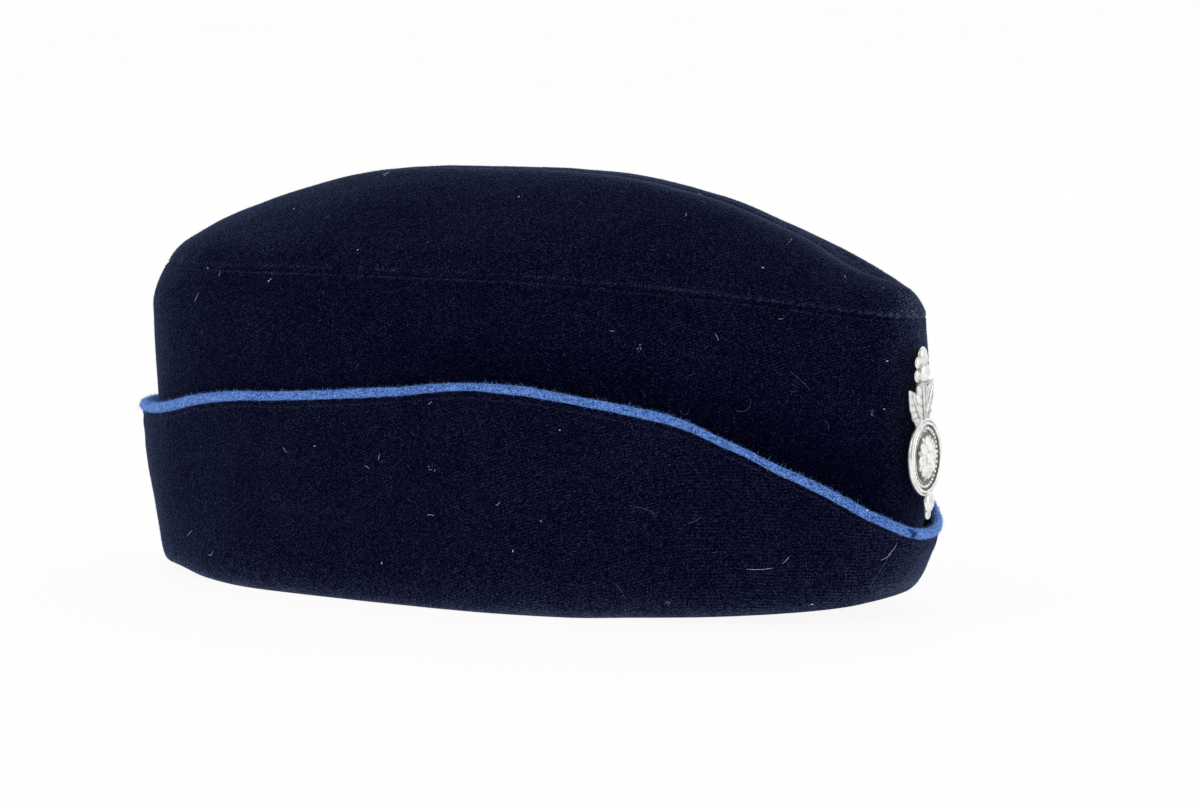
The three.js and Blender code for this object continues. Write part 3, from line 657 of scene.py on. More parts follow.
foot_push = push[-1]
turn = []
for a in np.radians([9, 18, 27, 36, 45, 54, 63, 72, 81, 90]):
    turn.append((FOOT_IN * (1 - math.cos(a)), FOOT * (1 - math.sin(a)), 1.0))
ROLL_ROWS = len(turn)
under_rows = []
for inset, rise, keep in turn:
    p = curtain_face(T, lift + rise, inset)
    p[:, :2] += face_n[-1, :, :2] * (foot_push * keep)[:, None]
    under_rows.append(p)
foot_line = curtain_face(T, lift, 2.6)
inner_line = body_in[-1, :, :2]
nearest = inner_line[np.argmin(((foot_line[:, None, :2] - inner_line[None]) ** 2).sum(-1), 1)]
for _ in range(6):
    nearest = (np.roll(nearest, 1, 0) + 2 * nearest + np.roll(nearest, -1, 0)) / 4
inward = nearest - foot_line[:, :2]
reach = np.linalg.norm(inward, axis=1)[:, None]
inward = inward / reach
hem_rows = [(0.25 * (reach - 0.9), 0.0, 0.7), (0.55 * (reach - 0.9), 0.0, 0.45), (0.8 * (reach - 0.9), 0.0, 0.25)]
for a in np.radians([20, 50, 80, 110, 140, 170]):
    hem_rows.append((reach - 0.9 + 1.06 * math.sin(a), 1.06 * (1 - math.cos(a)), 0.1))
hem_rows += [(0.6 * (reach - 0.9), 2.14, 0.0), (0.3 * (reach - 0.9), 2.16, 0.0)]
for go, rise, keep in hem_rows:
    p = foot_line.copy()
    p[:, :2] += inward * go + face_n[-1, :, :2] * (foot_push * keep)[:, None]
    p[:, 2] = lift + rise
    under_rows.append(p)
for inset, rise in ((2.85, 2.7), (2.65, 3.4)):
    under_rows.append(curtain_face(T, lift + rise, inset))
inner_rows = []
for f in np.linspace(0, 1, 13)[1:]:
    z = lift + 3.4 + (edge - 1.8 - lift - 3.4) * f
    inner_rows.append(curtain_face(T, z, CURTAIN_WALL))
inner_rows.append(curtain_face(T, edge - 1.2, CURTAIN_WALL - 0.3))
inner_rows.append(curtain_face(T, edge - 0.8, CURTAIN_WALL - 0.8))
down = np.concatenate([face, np.stack(under_rows), np.stack(inner_rows)])
curtain_grid = down[::-1]
n_rows = len(curtain_grid)
curtain_v = np.concatenate([drop, drop[-1][None] + np.cumsum(np.full(n_rows - len(drop), 1.1))[:, None]])[::-1]
curtain_cloth = np.stack(np.broadcast_arrays(ARC[None], -curtain_v, 0.0), -1)
rise = curtain_grid[..., 2] - lift[None]
# Painted light along the bottom fold, standing in for floor bounce and edge glow, and painted edge glow at the front
# end.
curtain_wear = 0.75 * np.exp(-np.maximum(rise, 0) / 4.5) + 0.7 * np.exp(-np.maximum(rise, 0) / 1.3) + 0.14 * np.exp(-np.maximum(rise, 0) / 9) + 0.7 * ramp_up(curtain_grid[..., 0], 112, 134) * np.exp(-np.maximum(rise - 3, 0) / 14)
# Painted edge glow at the back end.
curtain_wear = curtain_wear + 0.3 * ramp_up(-curtain_grid[..., 0], 114, 128)
stitch_d = np.concatenate([drop, np.full((n_rows - len(drop), COLUMNS), 50.0)])[::-1]
# Lighter dots along the stitch row below the piping.
curtain_wear = curtain_wear + 0.5 * bump(stitch_d, EDGE_STITCH, 0.5) * np.cos(edge_turns * PHASE[None] / 2) ** 2
FACE_FIRST = n_rows - len(face)                            # first row of the outer face
under = np.linalg.norm(curtain_grid[..., :2] - curtain_grid[FACE_FIRST][None, :, :2], axis=-1) * (np.arange(n_rows) < FACE_FIRST)[:, None]
# The painted light fades out on the underside of the fold.
curtain_wear = curtain_wear * np.exp(-np.maximum(under - 2.2, 0) / 1.6)
curtain = make("curtain_cloth", part_frame(curtain_grid.reshape(-1, 3)), grid_faces(n_rows, COLUMNS, True), m_wool, cloth=curtain_cloth.reshape(-1, 3), wear=curtain_wear.ravel())

# ----------------------------------------------------------------- piping ----

PIPE_COLS, PIPE_SIDES = 1300, 22


def edge_point(t):
    x, y = plan(t, EDGE)
    return np.stack([x, y, edge_height(t)], -1)


tp = spread(PIPE_COLS, edge_point)
line = edge_point(tp)
# a soft wander of the sewn cord along the edge
pipe_phase = 2 * math.pi * np.arange(PIPE_COLS) / PIPE_COLS
pipe_step = np.linalg.norm(np.roll(line, -1, 0) - line, axis=1)
pipe_loop = float(pipe_step.sum())
line[:, 2] += ripple(rng, pipe_phase, 0.0, pipe_loop, 14, 60, 0.05)
for _ in range(3):
    line = (np.roll(line, 1, 0) + 2 * line + np.roll(line, -1, 0)) / 4
tang = np.roll(line, -1, 0) - np.roll(line, 1, 0)
tang /= np.linalg.norm(tang, axis=1)[:, None]
outw = -np.cross((0, 0, 1.0), tang)
outw /= np.linalg.norm(outw, axis=1)[:, None]
upw = np.cross(tang, outw)
ang = 2 * math.pi * np.arange(PIPE_SIDES) / PIPE_SIDES
thick = 1 + ripple(rng, pipe_phase[None], ang[:, None] * 1.8, pipe_loop, 5, 16, 0.022) + ripple(rng, pipe_phase[None], ang[:, None] * 1.8, pipe_loop, 1.4, 3, 0.026)
# the covering cloth closes to a narrow flange between the curtain's two layers
flange = np.exp(-((ang + 0.0 - 1.5 * math.pi) / 0.55) ** 2)
full = along(PIPING_R[:, 0], PIPING_R[:, 1], line[:, 0]) - 0.09         # under its fibres
radius = full[None] * thick * (1 + 0.1 * flange)[:, None]
pipe = line[None] + (outw[None] * np.cos(ang)[:, None, None] + upw[None] * np.sin(ang)[:, None, None]) * radius[..., None]
pipe_u = np.minimum(np.arange(PIPE_COLS), PIPE_COLS - np.arange(PIPE_COLS)) * pipe_loop / PIPE_COLS
pipe_cloth = np.stack(np.broadcast_arrays(pipe_u[None], (np.abs(ang - math.pi) * 1.6)[:, None], 0.0), -1)
# the small dark spot near the front, seen at this pixel
flat = part_frame(pipe.reshape(-1, 3))
rel = flat - cam_pos
mark = np.zeros(len(flat))
for spot_x, spot_y, spot_r in ((909.2, 530.2, 0.5), (911.6, 531.8, 0.75), (914.2, 533.8, 0.75), (913.2, 536.6, 0.6)):
    spot_d = pixel_ray(spot_x, spot_y)
    off = np.linalg.norm(rel - (rel @ spot_d)[:, None] * spot_d[None], axis=1)
    mark = np.maximum(mark, np.clip(1.15 * np.exp(-(off / spot_r) ** 2), 0, 1) * (flat[:, 1] < 0))
pipe_q = grid_faces(PIPE_SIDES, PIPE_COLS, True)[:, ::-1]
piping = make("piping_cord", flat, pipe_q, m_piping, cloth=pipe_cloth.reshape(-1, 3), mark=mark)

# ------------------------------------------------------------------ badge ----


class Parts:
    """Verts, faces and one value a vertex, gathered from many small shapes."""

    def __init__(self):
        self.v, self.f, self.a, self.n = [], [], [], 0

    def add(self, verts, faces, value):
        verts = np.asarray(verts, float).reshape(-1, 3)
        faces = np.asarray(faces)
        if faces.shape[1] == 4:
            faces = np.concatenate([faces[:, [0, 1, 2]], faces[:, [0, 2, 3]]])
        self.v.append(verts)
        self.f.append(faces + self.n)
        self.a.append(np.broadcast_to(value, (len(verts),)))
        self.n += len(verts)

    def joined(self):
        return np.concatenate(self.v), np.concatenate(self.f), np.concatenate(self.a)


def revolve(profile, count, relief=None, centre=(0.0, 0.0)):
    """Closed turned shape from (r, h) rows that start and end on the axis."""
    r, h = np.array(profile, float).T
    a = 2 * math.pi * np.arange(count) / count
    R, A = np.meshgrid(r, a, indexing="ij")
    H = np.repeat(h[:, None], count, 1)
    if relief is not None:
        H = H + relief(R, A, H)
    v = np.stack([centre[0] + R * np.cos(A), centre[1] + R * np.sin(A), H], -1)
    return v, H


def ball(parts, x, y, z, r, flat=0.6, value=0.1, around=28, rings=14):
    p = np.linspace(-math.pi / 2, math.pi / 2, rings)
    v, _ = revolve([(r * math.cos(b), z + r * flat * math.sin(b)) for b in p], around, centre=(x, y))
    low = np.clip(-np.sin(p) * 0.7 + 0.1, 0, 1)
    parts.add(v, grid_faces(rings, around), np.repeat(np.maximum(value, low)[:, None], around, 1).ravel())


MEDAL_Y = -7.2
BEAD_FLAT = 0.4
badge_parts = Parts()

# medallion: rolled rim, sunk channel with a ring of beads, domed rosette
profile = [(0, 0), (6, 0), (11.3, 0), (11.55, 0.08), (11.7, 0.25)]
profile += [(11.7, 0.9), (11.66, 1.15), (11.55, 1.38), (11.38, 1.52), (11.2, 1.54), (11.04, 1.44), (10.95, 1.26), (10.86, 1.24)]
profile += [(10.76, 1.38), (10.6, 1.6), (10.38, 1.74), (10.15, 1.76), (9.95, 1.64), (9.82, 1.4), (9.74, 1.05)]
profile += [(9.65, 0.72), (9.5, 0.66), (9.2, 0.65), (8.85, 0.65), (8.5, 0.65), (8.15, 0.68), (8.0, 0.85), (7.9, 1.12), (7.78, 1.3), (7.6, 1.36)]
profile += [(r, 1.36 + 0.62 * (1 - (r / 7.6) ** 2)) for r in np.linspace(7.4, 0.18, 36)] + [(0, 1.98)]


def rosette(R, A, H):
    """Eight round-ended petals over eight pointed ones, about a button."""
    inside = (R < 7.55) & (H > 1.2)
    petal = np.abs(np.cos(4 * A))
    reach = 4.1 + 2.75 * petal ** 0.55
    body = np.clip((reach - R) / 0.55, 0, 1)
    groove = np.clip((0.20 - np.abs(petal)) / 0.2, 0, 1) * np.clip((R - 1.9) / 0.8, 0, 1)
    vein = bump(np.abs(np.sin(4 * A)), 0, 0.10) * np.clip((R - 2.6) / 1, 0, 1) * (R < reach - 0.6)
    back_petal = np.abs(np.sin(4 * A))
    back_reach = 4.4 + 2.8 * back_petal ** 2.2
    back = np.clip((back_reach - R) / 0.4, 0, 1) * 0.26
    out = np.maximum(body * (0.42 - 0.26 * groove - 0.13 * vein), back)
    button = np.where(R < 1.75, 0.34 + 0.42 * np.sqrt(np.clip(1 - (R / 1.75) ** 2, 0, 1)), 0)
    moat = 0.22 * bump(R, 1.95, 0.25)
    stipple = 0.07 * np.sin(48 * A) * np.sin(9 * R) * (out < 0.05)
    return np.where(inside, np.maximum(out, button) - moat + stipple, 0)


mv, mh = revolve(profile, 192, rosette, (0, MEDAL_Y))
plain = np.array([h for _, h in profile])[:, None]
R = np.array([r for r, _ in profile])[:, None]
dark = np.where((R > 7.8) & (R < 9.8) & (plain < 1.0) & (plain > 0.5), 0.6, 0.0)
dark = np.maximum(dark, np.where((R < 7.85) & (plain > 1.2), np.clip(0.85 - 2.3 * (mh - plain), 0.0, 0.85), 0))
dark = np.maximum(dark, np.where(plain < 0.3, 0.6, 0))
dark = np.maximum(dark, np.where((R > 10.8) & (R < 11.0) & (plain < 1.3), 0.9, 0))
dark = np.maximum(dark, np.where((R > 9.6) & (R < 9.85), 0.7, 0))
badge_parts.add(mv, grid_faces(len(profile), 192), np.broadcast_to(dark, mh.shape).ravel())
for k in range(36):
    a = 2 * math.pi * k / 36
    ball(badge_parts, 8.82 * math.cos(a), MEDAL_Y + 8.82 * math.sin(a), 0.75, 0.62, 0.9, 0.05, 14, 8)


def leaf(parts, tilt, long, width, foot, rise):
    """A pointed leaf with a midrib and slanting veins, closed underneath."""
    na, nc = 54, 21
    s = np.linspace(0, 1, na)
    w = np.linspace(-1, 1, nc)
    q = s
    bx = 3 * width * 0.35 * q * (1 - q) ** 2 + 3 * width * 0.75 * q * q * (1 - q)
    by = -2 * (1 - q) ** 3 + 3 * 0 * q * (1 - q) ** 2 + 3 * long * 0.55 * q * q * (1 - q) + long * q ** 3
    half = np.maximum(bx, 0.06)
    S, W = np.meshgrid(s, w, indexing="ij")
    X = half[:, None] * W
    Y = by[:, None] + 0 * W
    notch = 0.05 * np.sin(S * 34)
    X = X * (1 + notch * np.abs(W) ** 3)
    shape = 1 - np.abs(W) ** 2.6
    rib = bump(W, 0, 0.11)
    groove = bump(np.abs(W), 0.24, 0.09)
    vein = np.abs(np.sin(math.pi * (S * 8.5 - np.abs(W) * 1.25)))
    veins = np.clip(0.35 - vein, 0, 1) * np.clip((np.abs(W) - 0.2) / 0.2, 0, 1) * np.clip((1 - np.abs(W)) / 0.15, 0, 1)
    fade = np.clip(S * 8, 0, 1) * np.clip((1 - S) * 5, 0, 1)
    Z = rise + 0.55 + shape * 0.62 + fade * (0.28 * rib - 0.14 * groove - 0.42 * veins)
    value = np.clip(0.12 + fade * (0.55 * groove + 1.6 * veins) + 0.35 * (np.abs(W) > 0.95), 0, 0.9)
    up = np.stack([X, Y, Z], -1)
    low = np.stack([X * 0.96, Y, 0 * Z + 0.15], -1)
    c, sn = math.cos(math.radians(tilt)), math.sin(math.radians(tilt))

    def turned(p):
        return np.stack([p[..., 0] * c - p[..., 1] * sn, p[..., 0] * sn + p[..., 1] * c + foot, p[..., 2]], -1)

    loop = np.concatenate([turned(up), turned(low)[:, ::-1]], 1)
    parts.add(loop, grid_faces(na, 2 * nc), np.concatenate([value, np.full_like(value, 0.6)], 1).ravel())
    for r in (0, na - 1):
        pts = loop[r]
        idx = np.arange(2 * nc)
        fan = np.stack([np.full(2 * nc - 2, 0), idx[1:-1], idx[2:]], 1)
        parts.add(pts, fan if r else fan[:, ::-1], 0.5)


leaf(badge_parts, 36, 15.4, 9.4, 2.4, -0.15)
leaf(badge_parts, -36, 15.4, 9.4, 2.4, -0.15)
leaf(badge_parts, 0, 17.5, 10.6, 2.4, 0.15)
# finial above the leaves, drop below the medallion
for x, y, r in ((0, 18.6, 3.4), (-3.6, 18.2, 2.0), (3.6, 18.2, 2.0), (0, 23.6, 2.9), (-2.7, 22.0, 2.0), (2.7, 22.0, 2.0), (0, -20.8, 3.2), (0, -24.4, 1.9)):
    ball(badge_parts, x, y, r * BEAD_FLAT + 0.1, r, BEAD_FLAT, 0.1)
for y, r, z in ((20.9, 3.0, 1.1), (-22.9, 2.0, 0.9), (15.6, 3.2, 1.2)):
    a = np.linspace(0, 2 * math.pi, 29)[:-1]
    b = np.linspace(0, 2 * math.pi, 13)[:-1]
    B, A = np.meshgrid(b, a, indexing="ij")
    v = np.stack([(r + 0.35 * np.cos(B)) * np.cos(A), y + 0.42 * np.sin(B), z + (r + 0.35 * np.cos(B)) * 0.42 * np.sin(A)], -1)
    v[..., 2] = np.maximum(v[..., 2], 0.12)
    badge_parts.add(v, grid_faces(12, 28, True), 0.35)
# soldered post
a = np.linspace(0, 2 * math.pi, 25)[:-1]
rows_z = [(0.0, -10.4), (0.9, -10.4), (1.2, -10.1), (1.2, -0.6), (1.5, -0.1), (1.7, 0.2), (0.0, 0.2)]
pv, _ = revolve(rows_z, 24, None, (0, MEDAL_Y))
badge_parts.add(pv, grid_faces(len(rows_z), 24), 0.4)

turn_a, lean_a, roll_a = math.radians(2.0), math.radians(0.8), math.radians(4.5)
b_out = np.array([math.cos(turn_a) * math.cos(lean_a), -math.sin(turn_a) * math.cos(lean_a), math.sin(lean_a)])
b_across = np.array([math.sin(turn_a), math.cos(turn_a), 0.0])
b_up = np.cross(b_out, b_across)
b_up /= np.linalg.norm(b_up)
level = 0.0
while level < 3 and float(body_point(np.array(0.0), np.array(level))[2]) < 56.2:
    level += 0.01
front_x = float(body_point(np.array(0.0), np.array(level))[0])
b_pos = np.array([front_x - MIDDLE_X + 0.45 + 26.5 * math.sin(lean_a), -6.0, 56.2])
bx = b_across * math.cos(roll_a) + b_up * math.sin(roll_a)
by = -b_across * math.sin(roll_a) + b_up * math.cos(roll_a)
bv, bf, ba = badge_parts.joined()
bv = b_pos + bv[:, :1] * bx + bv[:, 1:2] * by + bv[:, 2:] * b_out
keep = (bf[:, 0] != bf[:, 1]) & (bf[:, 1] != bf[:, 2]) & (bf[:, 0] != bf[:, 2])
badge = make("badge_metal", bv, bf[keep], m_silver, recess=ba)

# ------------------------------------------------------ stitches and fibres ----


def tube(parts, path, radius, sides=5, value=0.0, taper=True):
    """A thin round strand along points; its ends taper to nearly nothing."""
    path = np.asarray(path, float)
    d = np.gradient(path, axis=0)
    d /= np.maximum(np.linalg.norm(d, axis=1), 1e-9)[:, None]
    ref = np.where(np.abs(d[:, 2:]) < 0.9, np.array([[0, 0, 1.0]]), np.array([[1.0, 0, 0]]))
    a = np.cross(d, ref)
    a /= np.maximum(np.linalg.norm(a, axis=1), 1e-9)[:, None]
    b = np.cross(d, a)
    k = np.linspace(0, 1, len(path))
    r = radius * (np.clip(np.minimum(k, 1 - k) * 6, 0.25, 1) if taper else np.ones(len(path)))
    ang = 2 * math.pi * np.arange(sides) / sides
    v = path[:, None] + (a[:, None] * np.cos(ang)[None, :, None] + b[:, None] * np.sin(ang)[None, :, None]) * r[:, None, None]
    parts.add(v, grid_faces(len(path), sides), value)


def stitch_row(parts, row, row_n, turns, long, radius, sink, rng):
    """Even stitches along a closed row of cloth points, dipping in at both ends."""
    count = len(row)
    for k in range(turns):
        centre = (k + 0.5 + rng.uniform(-0.06, 0.06)) * count / turns
        reach = long / 2 / STEP * rng.uniform(0.9, 1.1)
        at = centre + reach * np.array([-1, -0.7, -0.3, 0.3, 0.7, 1.0])
        i = np.floor(at).astype(int)
        f = (at - i)[:, None]
        p = row[i % count] * (1 - f) + row[(i + 1) % count] * f
        n = row_n[i % count] * (1 - f) + row_n[(i + 1) % count] * f
        lift_by = sink + np.array([-0.22, 0.02, 0.12, 0.12, 0.02, -0.22])
        tube(parts, p + n * lift_by[:, None], radius, 4, taper=False)


rng = np.random.default_rng(31)
body_n = normals(body_grid, True)
stitch_parts = Parts()
row = int(np.argmin(np.abs(h_out - SEAM_STITCH)))
stitch_row(stitch_parts, body_grid[row], body_n[row], seam_turns, 1.0, 0.16, -0.02, rng)
curtain_n = normals(curtain_grid, True)
row = n_rows - 1 - int(np.argmin(np.abs(np.array([d for d, _ in top_rows]) - EDGE_STITCH)))
stitch_row(stitch_parts, curtain_grid[row], curtain_n[row], edge_turns, 0.9, 0.14, -0.02, rng)
sv, sf, _ = stitch_parts.joined()
stitches = make("seam_stitches", part_frame(sv), sf, m_thread)


def fuzz(name, verts, faces, count, long, width, material, rng, stand=0.6, floor=0.05, clear=None):
    """Short fibres standing off a cloth face, as one mesh of thin blades."""
    p = verts[faces]
    area = np.linalg.norm(np.cross(p[:, 1] - p[:, 0], p[:, 2] - p[:, 0]), axis=1)
    pick = rng.choice(len(faces), count, p=area / area.sum())
    a, b = rng.random((2, count))
    flip = a + b > 1
    a[flip], b[flip] = 1 - a[flip], 1 - b[flip]
    q = p[pick]
    base = q[:, 0] + (q[:, 1] - q[:, 0]) * a[:, None] + (q[:, 2] - q[:, 0]) * b[:, None]
    n = np.cross(q[:, 1] - q[:, 0], q[:, 2] - q[:, 0])
    n /= np.maximum(np.linalg.norm(n, axis=1), 1e-12)[:, None]
    lay = rng.normal(size=(count, 3))
    lay -= (lay * n).sum(1)[:, None] * n
    lay /= np.maximum(np.linalg.norm(lay, axis=1), 1e-9)[:, None]
    size = long * np.exp(rng.normal(0, 0.38, count))[:, None]
    up = stand * rng.uniform(0.15, 1.0, count)[:, None]
    wide = np.cross(lay, n) + 0.5 * n * rng.normal(size=(count, 1))
    wide /= np.linalg.norm(wide, axis=1)[:, None]
    wide *= width * rng.uniform(0.6, 1.2, count)[:, None] / 2
    p0 = base - 0.05 * n
    p1 = base + size * (0.5 * lay + 0.55 * up * n)
    p2 = base + size * (0.95 * lay + up * n + 0.25 * rng.normal(size=(count, 3)))
    v = np.stack([p0, p1 + wide, p1 - wide, p2], 1)
    good = v[..., 2].min(1) > floor
    if clear is not None:
        good &= np.linalg.norm(base - clear, axis=1) > 1.5
    v = v[good].reshape(-1, 3)
    k = 4 * np.arange(good.sum())[:, None]
    f = np.concatenate([k + np.array([0, 1, 2]), k + np.array([2, 1, 3])])
    return make(name, v, f, material)


def tris(quads):
    return np.concatenate([quads[:, [0, 1, 2]], quads[:, [0, 2, 3]]])


body_v3 = part_frame(body_grid.reshape(-1, 3))
low_row = int(np.argmin(np.abs(levels_out - 0.6)))
body_q = grid_faces(rows, COLUMNS, True)[low_row * COLUMNS:(BODY_OUT_ROWS - 2) * COLUMNS]
curtain_v3 = part_frame(curtain_grid.reshape(-1, 3))
curtain_q = grid_faces(n_rows, COLUMNS, True)[(FACE_FIRST - ROLL_ROWS + 1) * COLUMNS:(n_rows - 5) * COLUMNS]
crown_v3 = part_frame(crown_grid.reshape(-1, 3))
crown_q = grid_faces(crown_rows, COLUMNS)[(crown_in_rows + 2) * COLUMNS:(crown_rows - 5) * COLUMNS]
fuzz_body = fuzz("fuzz_body", body_v3, tris(body_q), 56000, 0.45, 0.055, m_fuzz_painted_glow, rng)
fuzz_crown = fuzz("fuzz_crown", crown_v3, tris(crown_q), 54000, 0.45, 0.055, m_fuzz_painted_glow, rng)
fuzz_curtain = fuzz("fuzz_curtain", curtain_v3, tris(curtain_q), 68000, 0.45, 0.055, m_fuzz_painted_glow, rng)
fuzz_piping = fuzz("fuzz_piping", flat, tris(pipe_q), 23000, 0.6, 0.085, m_pipe_fuzz, rng, stand=1.15, clear=flat[int(np.argmax(mark))])
hairs_piping = fuzz("hairs_piping", flat, tris(pipe_q), 2600, 0.85, 0.075, m_pipe_fuzz, rng, stand=0.5, clear=flat[int(np.argmax(mark))])

# ------------------------------------------------------------------- lint ----

cloth_verts = np.concatenate([body_v3, crown_v3, curtain_v3, flat])
cloth_faces = np.concatenate([
    body_q, crown_q + len(body_v3), curtain_q + len(body_v3) + len(crown_v3),
    pipe_q + len(body_v3) + len(crown_v3) + len(curtain_v3),
])
tree = BVHTree.FromPolygons([Vector(v) for v in cloth_verts], cloth_faces.tolist())


def cast(px, py):
    hit, n, _, _ = tree.ray_cast(Vector(cam_pos), Vector(pixel_ray(px, py)))
    return (np.array(hit), np.array(n)) if hit is not None else (None, None)


def drape(points, height):
    """Points pulled onto the cloth, each held a little off it."""
    out = []
    for p in points:
        hit, n, _, _ = tree.find_nearest(Vector(p))
        out.append(np.array(hit) + np.array(n) * height)
    return np.array(out)


def strand(parts, centre, n, angle, long, bend, radius, height=0.14, points=9, tangle=0.0, rng=None):
    """A loose fibre lying on the cloth: angle from level, bend in turns along it."""
    n = n / np.linalg.norm(n)
    level_dir = np.cross((0, 0, 1.0), n)
    if np.linalg.norm(level_dir) < 0.1:
        level_dir = np.array([1.0, 0, 0])
    level_dir /= np.linalg.norm(level_dir)
    up_dir = np.cross(n, level_dir)
    k = np.linspace(-0.5, 0.5, points)
    way = math.radians(angle) + bend * 2 * math.pi * k
    step = np.stack([np.cos(way), np.sin(way)], 1) * long / (points - 1)
    xy = np.cumsum(step, axis=0)
    xy -= xy.mean(0)
    if tangle and rng is not None:
        xy += rng.normal(0, tangle, xy.shape)
    path = centre + xy[:, :1] * level_dir + xy[:, 1:] * up_dir
    path = drape(path, height)
    path[path[:, 2] < 0.2, 2] = 0.2
    tube(parts, path, radius, 4)


# px, py, kind, angle, length, bend
LINT = [
    (867, 510.6, "dot", 60, 0.9, 0),
    (387, 174, "clump", 10, 2.4, 0), (294, 209, "speck", 0, 0.6, 0), (327, 217, "faint", 40, 3, 0.2), (519, 197, "speck", 90, 0.7, 0),
    (686, 215, "short", 80, 2.0, 0.1), (763, 268, "speck", 0, 0.7, 0), (790, 240, "clump", 20, 2.0, 0), (845, 277, "short", 88, 1.3, 0),
    (220, 274, "short", 85, 1.5, 0.05), (269, 281, "speck", 60, 0.8, 0), (271, 279, "speck", 10, 0.5, 0), (197, 297, "short", 66, 3.4, 0.04),
    (208, 268.2, "speck", 0, 0.8, 0), (358, 250, "speck", 30, 0.5, 0), (717, 337, "bright", 118, 2.6, 0.15), (781, 319, "bright", 2, 1.5, 0.0),
    (638, 348, "clump", 0, 1.5, 0), (612, 331, "short", 5, 1.2, 0.05), (794, 391, "red", 5, 2.2, 0.1), (800, 380, "fine", 137, 9, 0.04),
    (872, 412, "clump", 30, 2.2, 0), (887, 361, "speck", 0, 0.8, 0), (745, 407, "curl", 30, 8, 0.45), (685, 412, "curl", 0, 5, 0.7),
    (827, 425, "fine", 110, 4, 0.25), (285, 450, "short", 130, 2.2, 0.05), (315, 446, "speck", 0, 0.6, 0), (379, 457, "short", 70, 2.0, 0.1),
    (431, 467, "clump", 0, 2.2, 0), (367, 467, "short", 150, 2.2, 0.3), (431, 515, "short", 175, 2.6, 0.15), (498, 504, "short", 35, 2.0, 0.2),
    (190, 533, "short", 36, 3.8, 0.03), (211, 554, "short", 20, 3.2, 0.4), (382, 563, "orange", 100, 0.9, 0), (513, 551, "speck", 90, 0.7, 0),
    (620, 590, "fine", 122, 7, 0.12), (760, 569, "bright", 3, 8.5, 0.05), (786, 560, "bright", 48, 3.2, 0.06), (695, 520, "fine", 25, 6, 0.2),
    (645, 510, "fine", 160, 9, 0.12), (893, 549, "bright", 58, 4.6, 0.1), (886, 557, "bright", 32, 4.2, 0.12), (884, 409, "speck", 0, 0.5, 0), (880, 570, "fine", 62, 14, 0.02), (715, 552, "fine", 10, 1.8, 0.1),
    (855, 594, "faint", 20, 0.9, 0), (667, 600, "clump", 80, 1.8, 0), (812, 604, "speck", 0, 0.9, 0), (206, 506, "fine", 75, 4.6, -0.15),
    (430, 403, "short", 35, 1.6, 0.1), (541, 521, "speck", 0, 0.5, 0), (455, 480, "faint", 60, 0.8, 0), (560, 430, "speck", 0, 0.5, 0),
]
SIZES = {"dot": 0.3, "speck": 0.125, "short": 0.042, "bright": 0.038, "fine": 0.032, "faint": 0.03, "curl": 0.034, "clump": 0.03, "red": 0.08, "orange": 0.2}
rng = np.random.default_rng(47)
pale, grey, red, orange = Parts(), Parts(), Parts(), Parts()
for px, py, kind, angle, long, bend in LINT:
    centre, n = cast(px, py)
    if centre is None:
        continue
    parts = red if kind == "red" else orange if kind == "orange" else grey if kind in ("faint", "fine", "curl") else pale
    if kind == "clump":
        for _ in range(6):
            strand(grey if rng.random() < 0.5 else pale, centre + rng.normal(0, 0.6, 3), n, rng.uniform(0, 180), long * rng.uniform(0.3, 0.9), rng.choice((-1, 1)) * rng.uniform(0.3, 0.9), SIZES[kind], rng.uniform(0.1, 0.3), 9)
    else:
        strand(parts, centre, n, angle, long, bend, SIZES[kind], points=5 if kind == "speck" else 13)

# the same sort of lint, thinly scattered over every side
areas = tris(cloth_faces[:len(body_q) + len(crown_q) + len(curtain_q)])
corner = cloth_verts[areas]
weight = np.linalg.norm(np.cross(corner[:, 1] - corner[:, 0], corner[:, 2] - corner[:, 0]), axis=1)
for i in rng.choice(len(areas), 520, p=weight / weight.sum()):
    p = corner[i].mean(0)
    n = np.cross(corner[i, 1] - corner[i, 0], corner[i, 2] - corner[i, 0])
    if np.linalg.norm(n) < 1e-9 or p[2] < 2.5:
        continue
    n = n / np.linalg.norm(n)
    far = n[1] > 0.1
    kind = rng.random()
    if kind < 0.5:
        strand(grey, p, n, rng.uniform(0, 180), rng.uniform(0.3, 1.0), rng.uniform(-0.15, 0.15), 0.036, 0.1, 5)
    elif kind < 0.9:
        strand(grey, p, n, rng.uniform(0, 180), rng.uniform(1.0, 2.8), rng.uniform(-0.2, 0.2), 0.022, 0.12, 9)
    elif far:
        strand(pale, p, n, rng.uniform(0, 180), rng.uniform(0.6, 3.0), rng.uniform(-0.3, 0.3), 0.06, 0.14, 9)

# rubbed nap on the front corner of the crown
for _ in range(300):
    px = rng.normal(914, 9)
    py = 300 + (px - 905) * 1.1 + rng.normal(0, 10)
    centre, n = cast(px, py)
    if centre is not None and centre[0] > 100:
        strand(pale if rng.random() < 0.16 else grey, centre, n, rng.uniform(0, 180), rng.uniform(0.2, 0.5), rng.uniform(-0.4, 0.4), 0.035, 0.12, 5)

lint = []
for name, parts, material in (("lint_pale", pale, m_lint), ("lint_grey", grey, m_lint_grey), ("lint_red", red, m_lint_red), ("lint_orange", orange, m_lint_orange)):
    v, f, _ = parts.joined()
    lint.append(make(name, v, f, material))

# ------------------------------------------------------------- on the frame ----

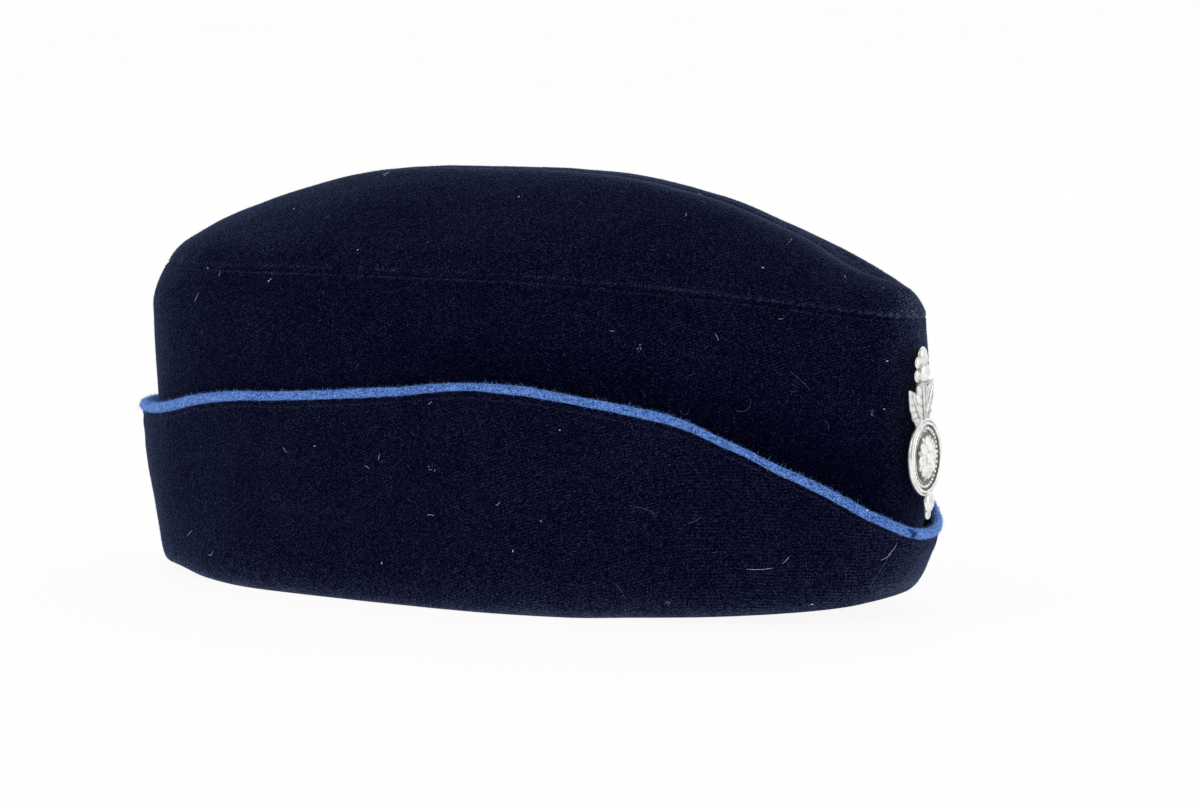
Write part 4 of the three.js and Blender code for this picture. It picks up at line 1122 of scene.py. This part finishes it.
for ob, node, slot_name in (
    (body, "body", "navy_wool"), (crown, "crown", "navy_wool"), (curtain, "curtain", "navy_wool"),
    (piping, "piping", "blue_piping"), (badge, "badge", "silver_metal"),
):
    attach(ob, "root")
    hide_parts(node)
for ob in (stitches, fuzz_body, fuzz_crown, fuzz_curtain, *lint):
    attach(ob, "root")
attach(fuzz_piping, "root")
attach(hairs_piping, "root")
for node, material in (("body", m_wool), ("crown", m_wool), ("curtain", m_wool), ("piping", m_piping), ("badge", m_silver), ("badge_clutch", m_silver)):
    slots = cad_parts[node].material_slots
    for s in slots:
        s.material = material

# -------------------------------------------------------- floor and lights ----

fm = Nodes("pale_floor")
paper = fm.noise(0.004, 2.0)
fm.set(Base_Color=fm.ramp(paper, (0.3, (0.075, 0.073, 0.070)), (0.7, (0.080, 0.078, 0.075))), Roughness=0.9, Specular_IOR_Level=0.0, Emission_Color=(1, 1, 1, 1), Emission_Strength=0.922)
half_floor = 20000.0
floor = make("floor", np.array([(-half_floor, -half_floor, 0), (half_floor, -half_floor, 0), (half_floor, half_floor, 0), (-half_floor, half_floor, 0)]), [[0, 1, 2, 3]], fm.material)

world = bpy.data.worlds.new("studio")
bpy.context.scene.world = world
world.use_nodes = True
sky = world.node_tree
open_side = sky.nodes.new("ShaderNodeVectorMath")
open_side.operation = "DOT_PRODUCT"
sky.links.new(sky.nodes.new("ShaderNodeTexCoord").outputs["Generated"], open_side.inputs[0])
open_side.inputs[1].default_value = (0.35, -0.93, -0.1)          # the open, darker side of the studio
level_map = sky.nodes.new("ShaderNodeMapRange")
level_map.inputs["From Min"].default_value, level_map.inputs["From Max"].default_value = -0.6, 0.9
level_map.inputs["To Min"].default_value, level_map.inputs["To Max"].default_value = 1.0, 0.5
sky.links.new(open_side.outputs["Value"], level_map.inputs["Value"])
sky.nodes["Background"].inputs["Color"].default_value = (0.97, 0.985, 1.0, 1)
sky.links.new(level_map.outputs["Result"], sky.nodes["Background"].inputs["Strength"])


def area(name, place, aim, size, power, colour=(1, 1, 1)):
    data = bpy.data.lights.new(name, "AREA")
    data.shape, data.size, data.energy, data.color = "DISK", size, power, colour
    ob = bpy.data.objects.new(name, data)
    bpy.context.scene.collection.objects.link(ob)
    ob.location = place
    ob.rotation_mode = "QUATERNION"
    ob.rotation_quaternion = (Vector(place) - Vector(aim)).to_track_quat("Z", "Y")
    return ob


area("key", (-1.3, -1.2, 1.2), (0, 0, 0.06), 1.4, 6.5)
area("side", (1.7, 0.25, 0.5), (0.05, 0, 0.06), 1.2, 4)
area("rim", (-0.3, 1.6, 1.2), (0, 0, 0.07), 1.3, 4)

view = bpy.context.scene.view_settings
view.view_transform = "Standard"
view.look = "None"
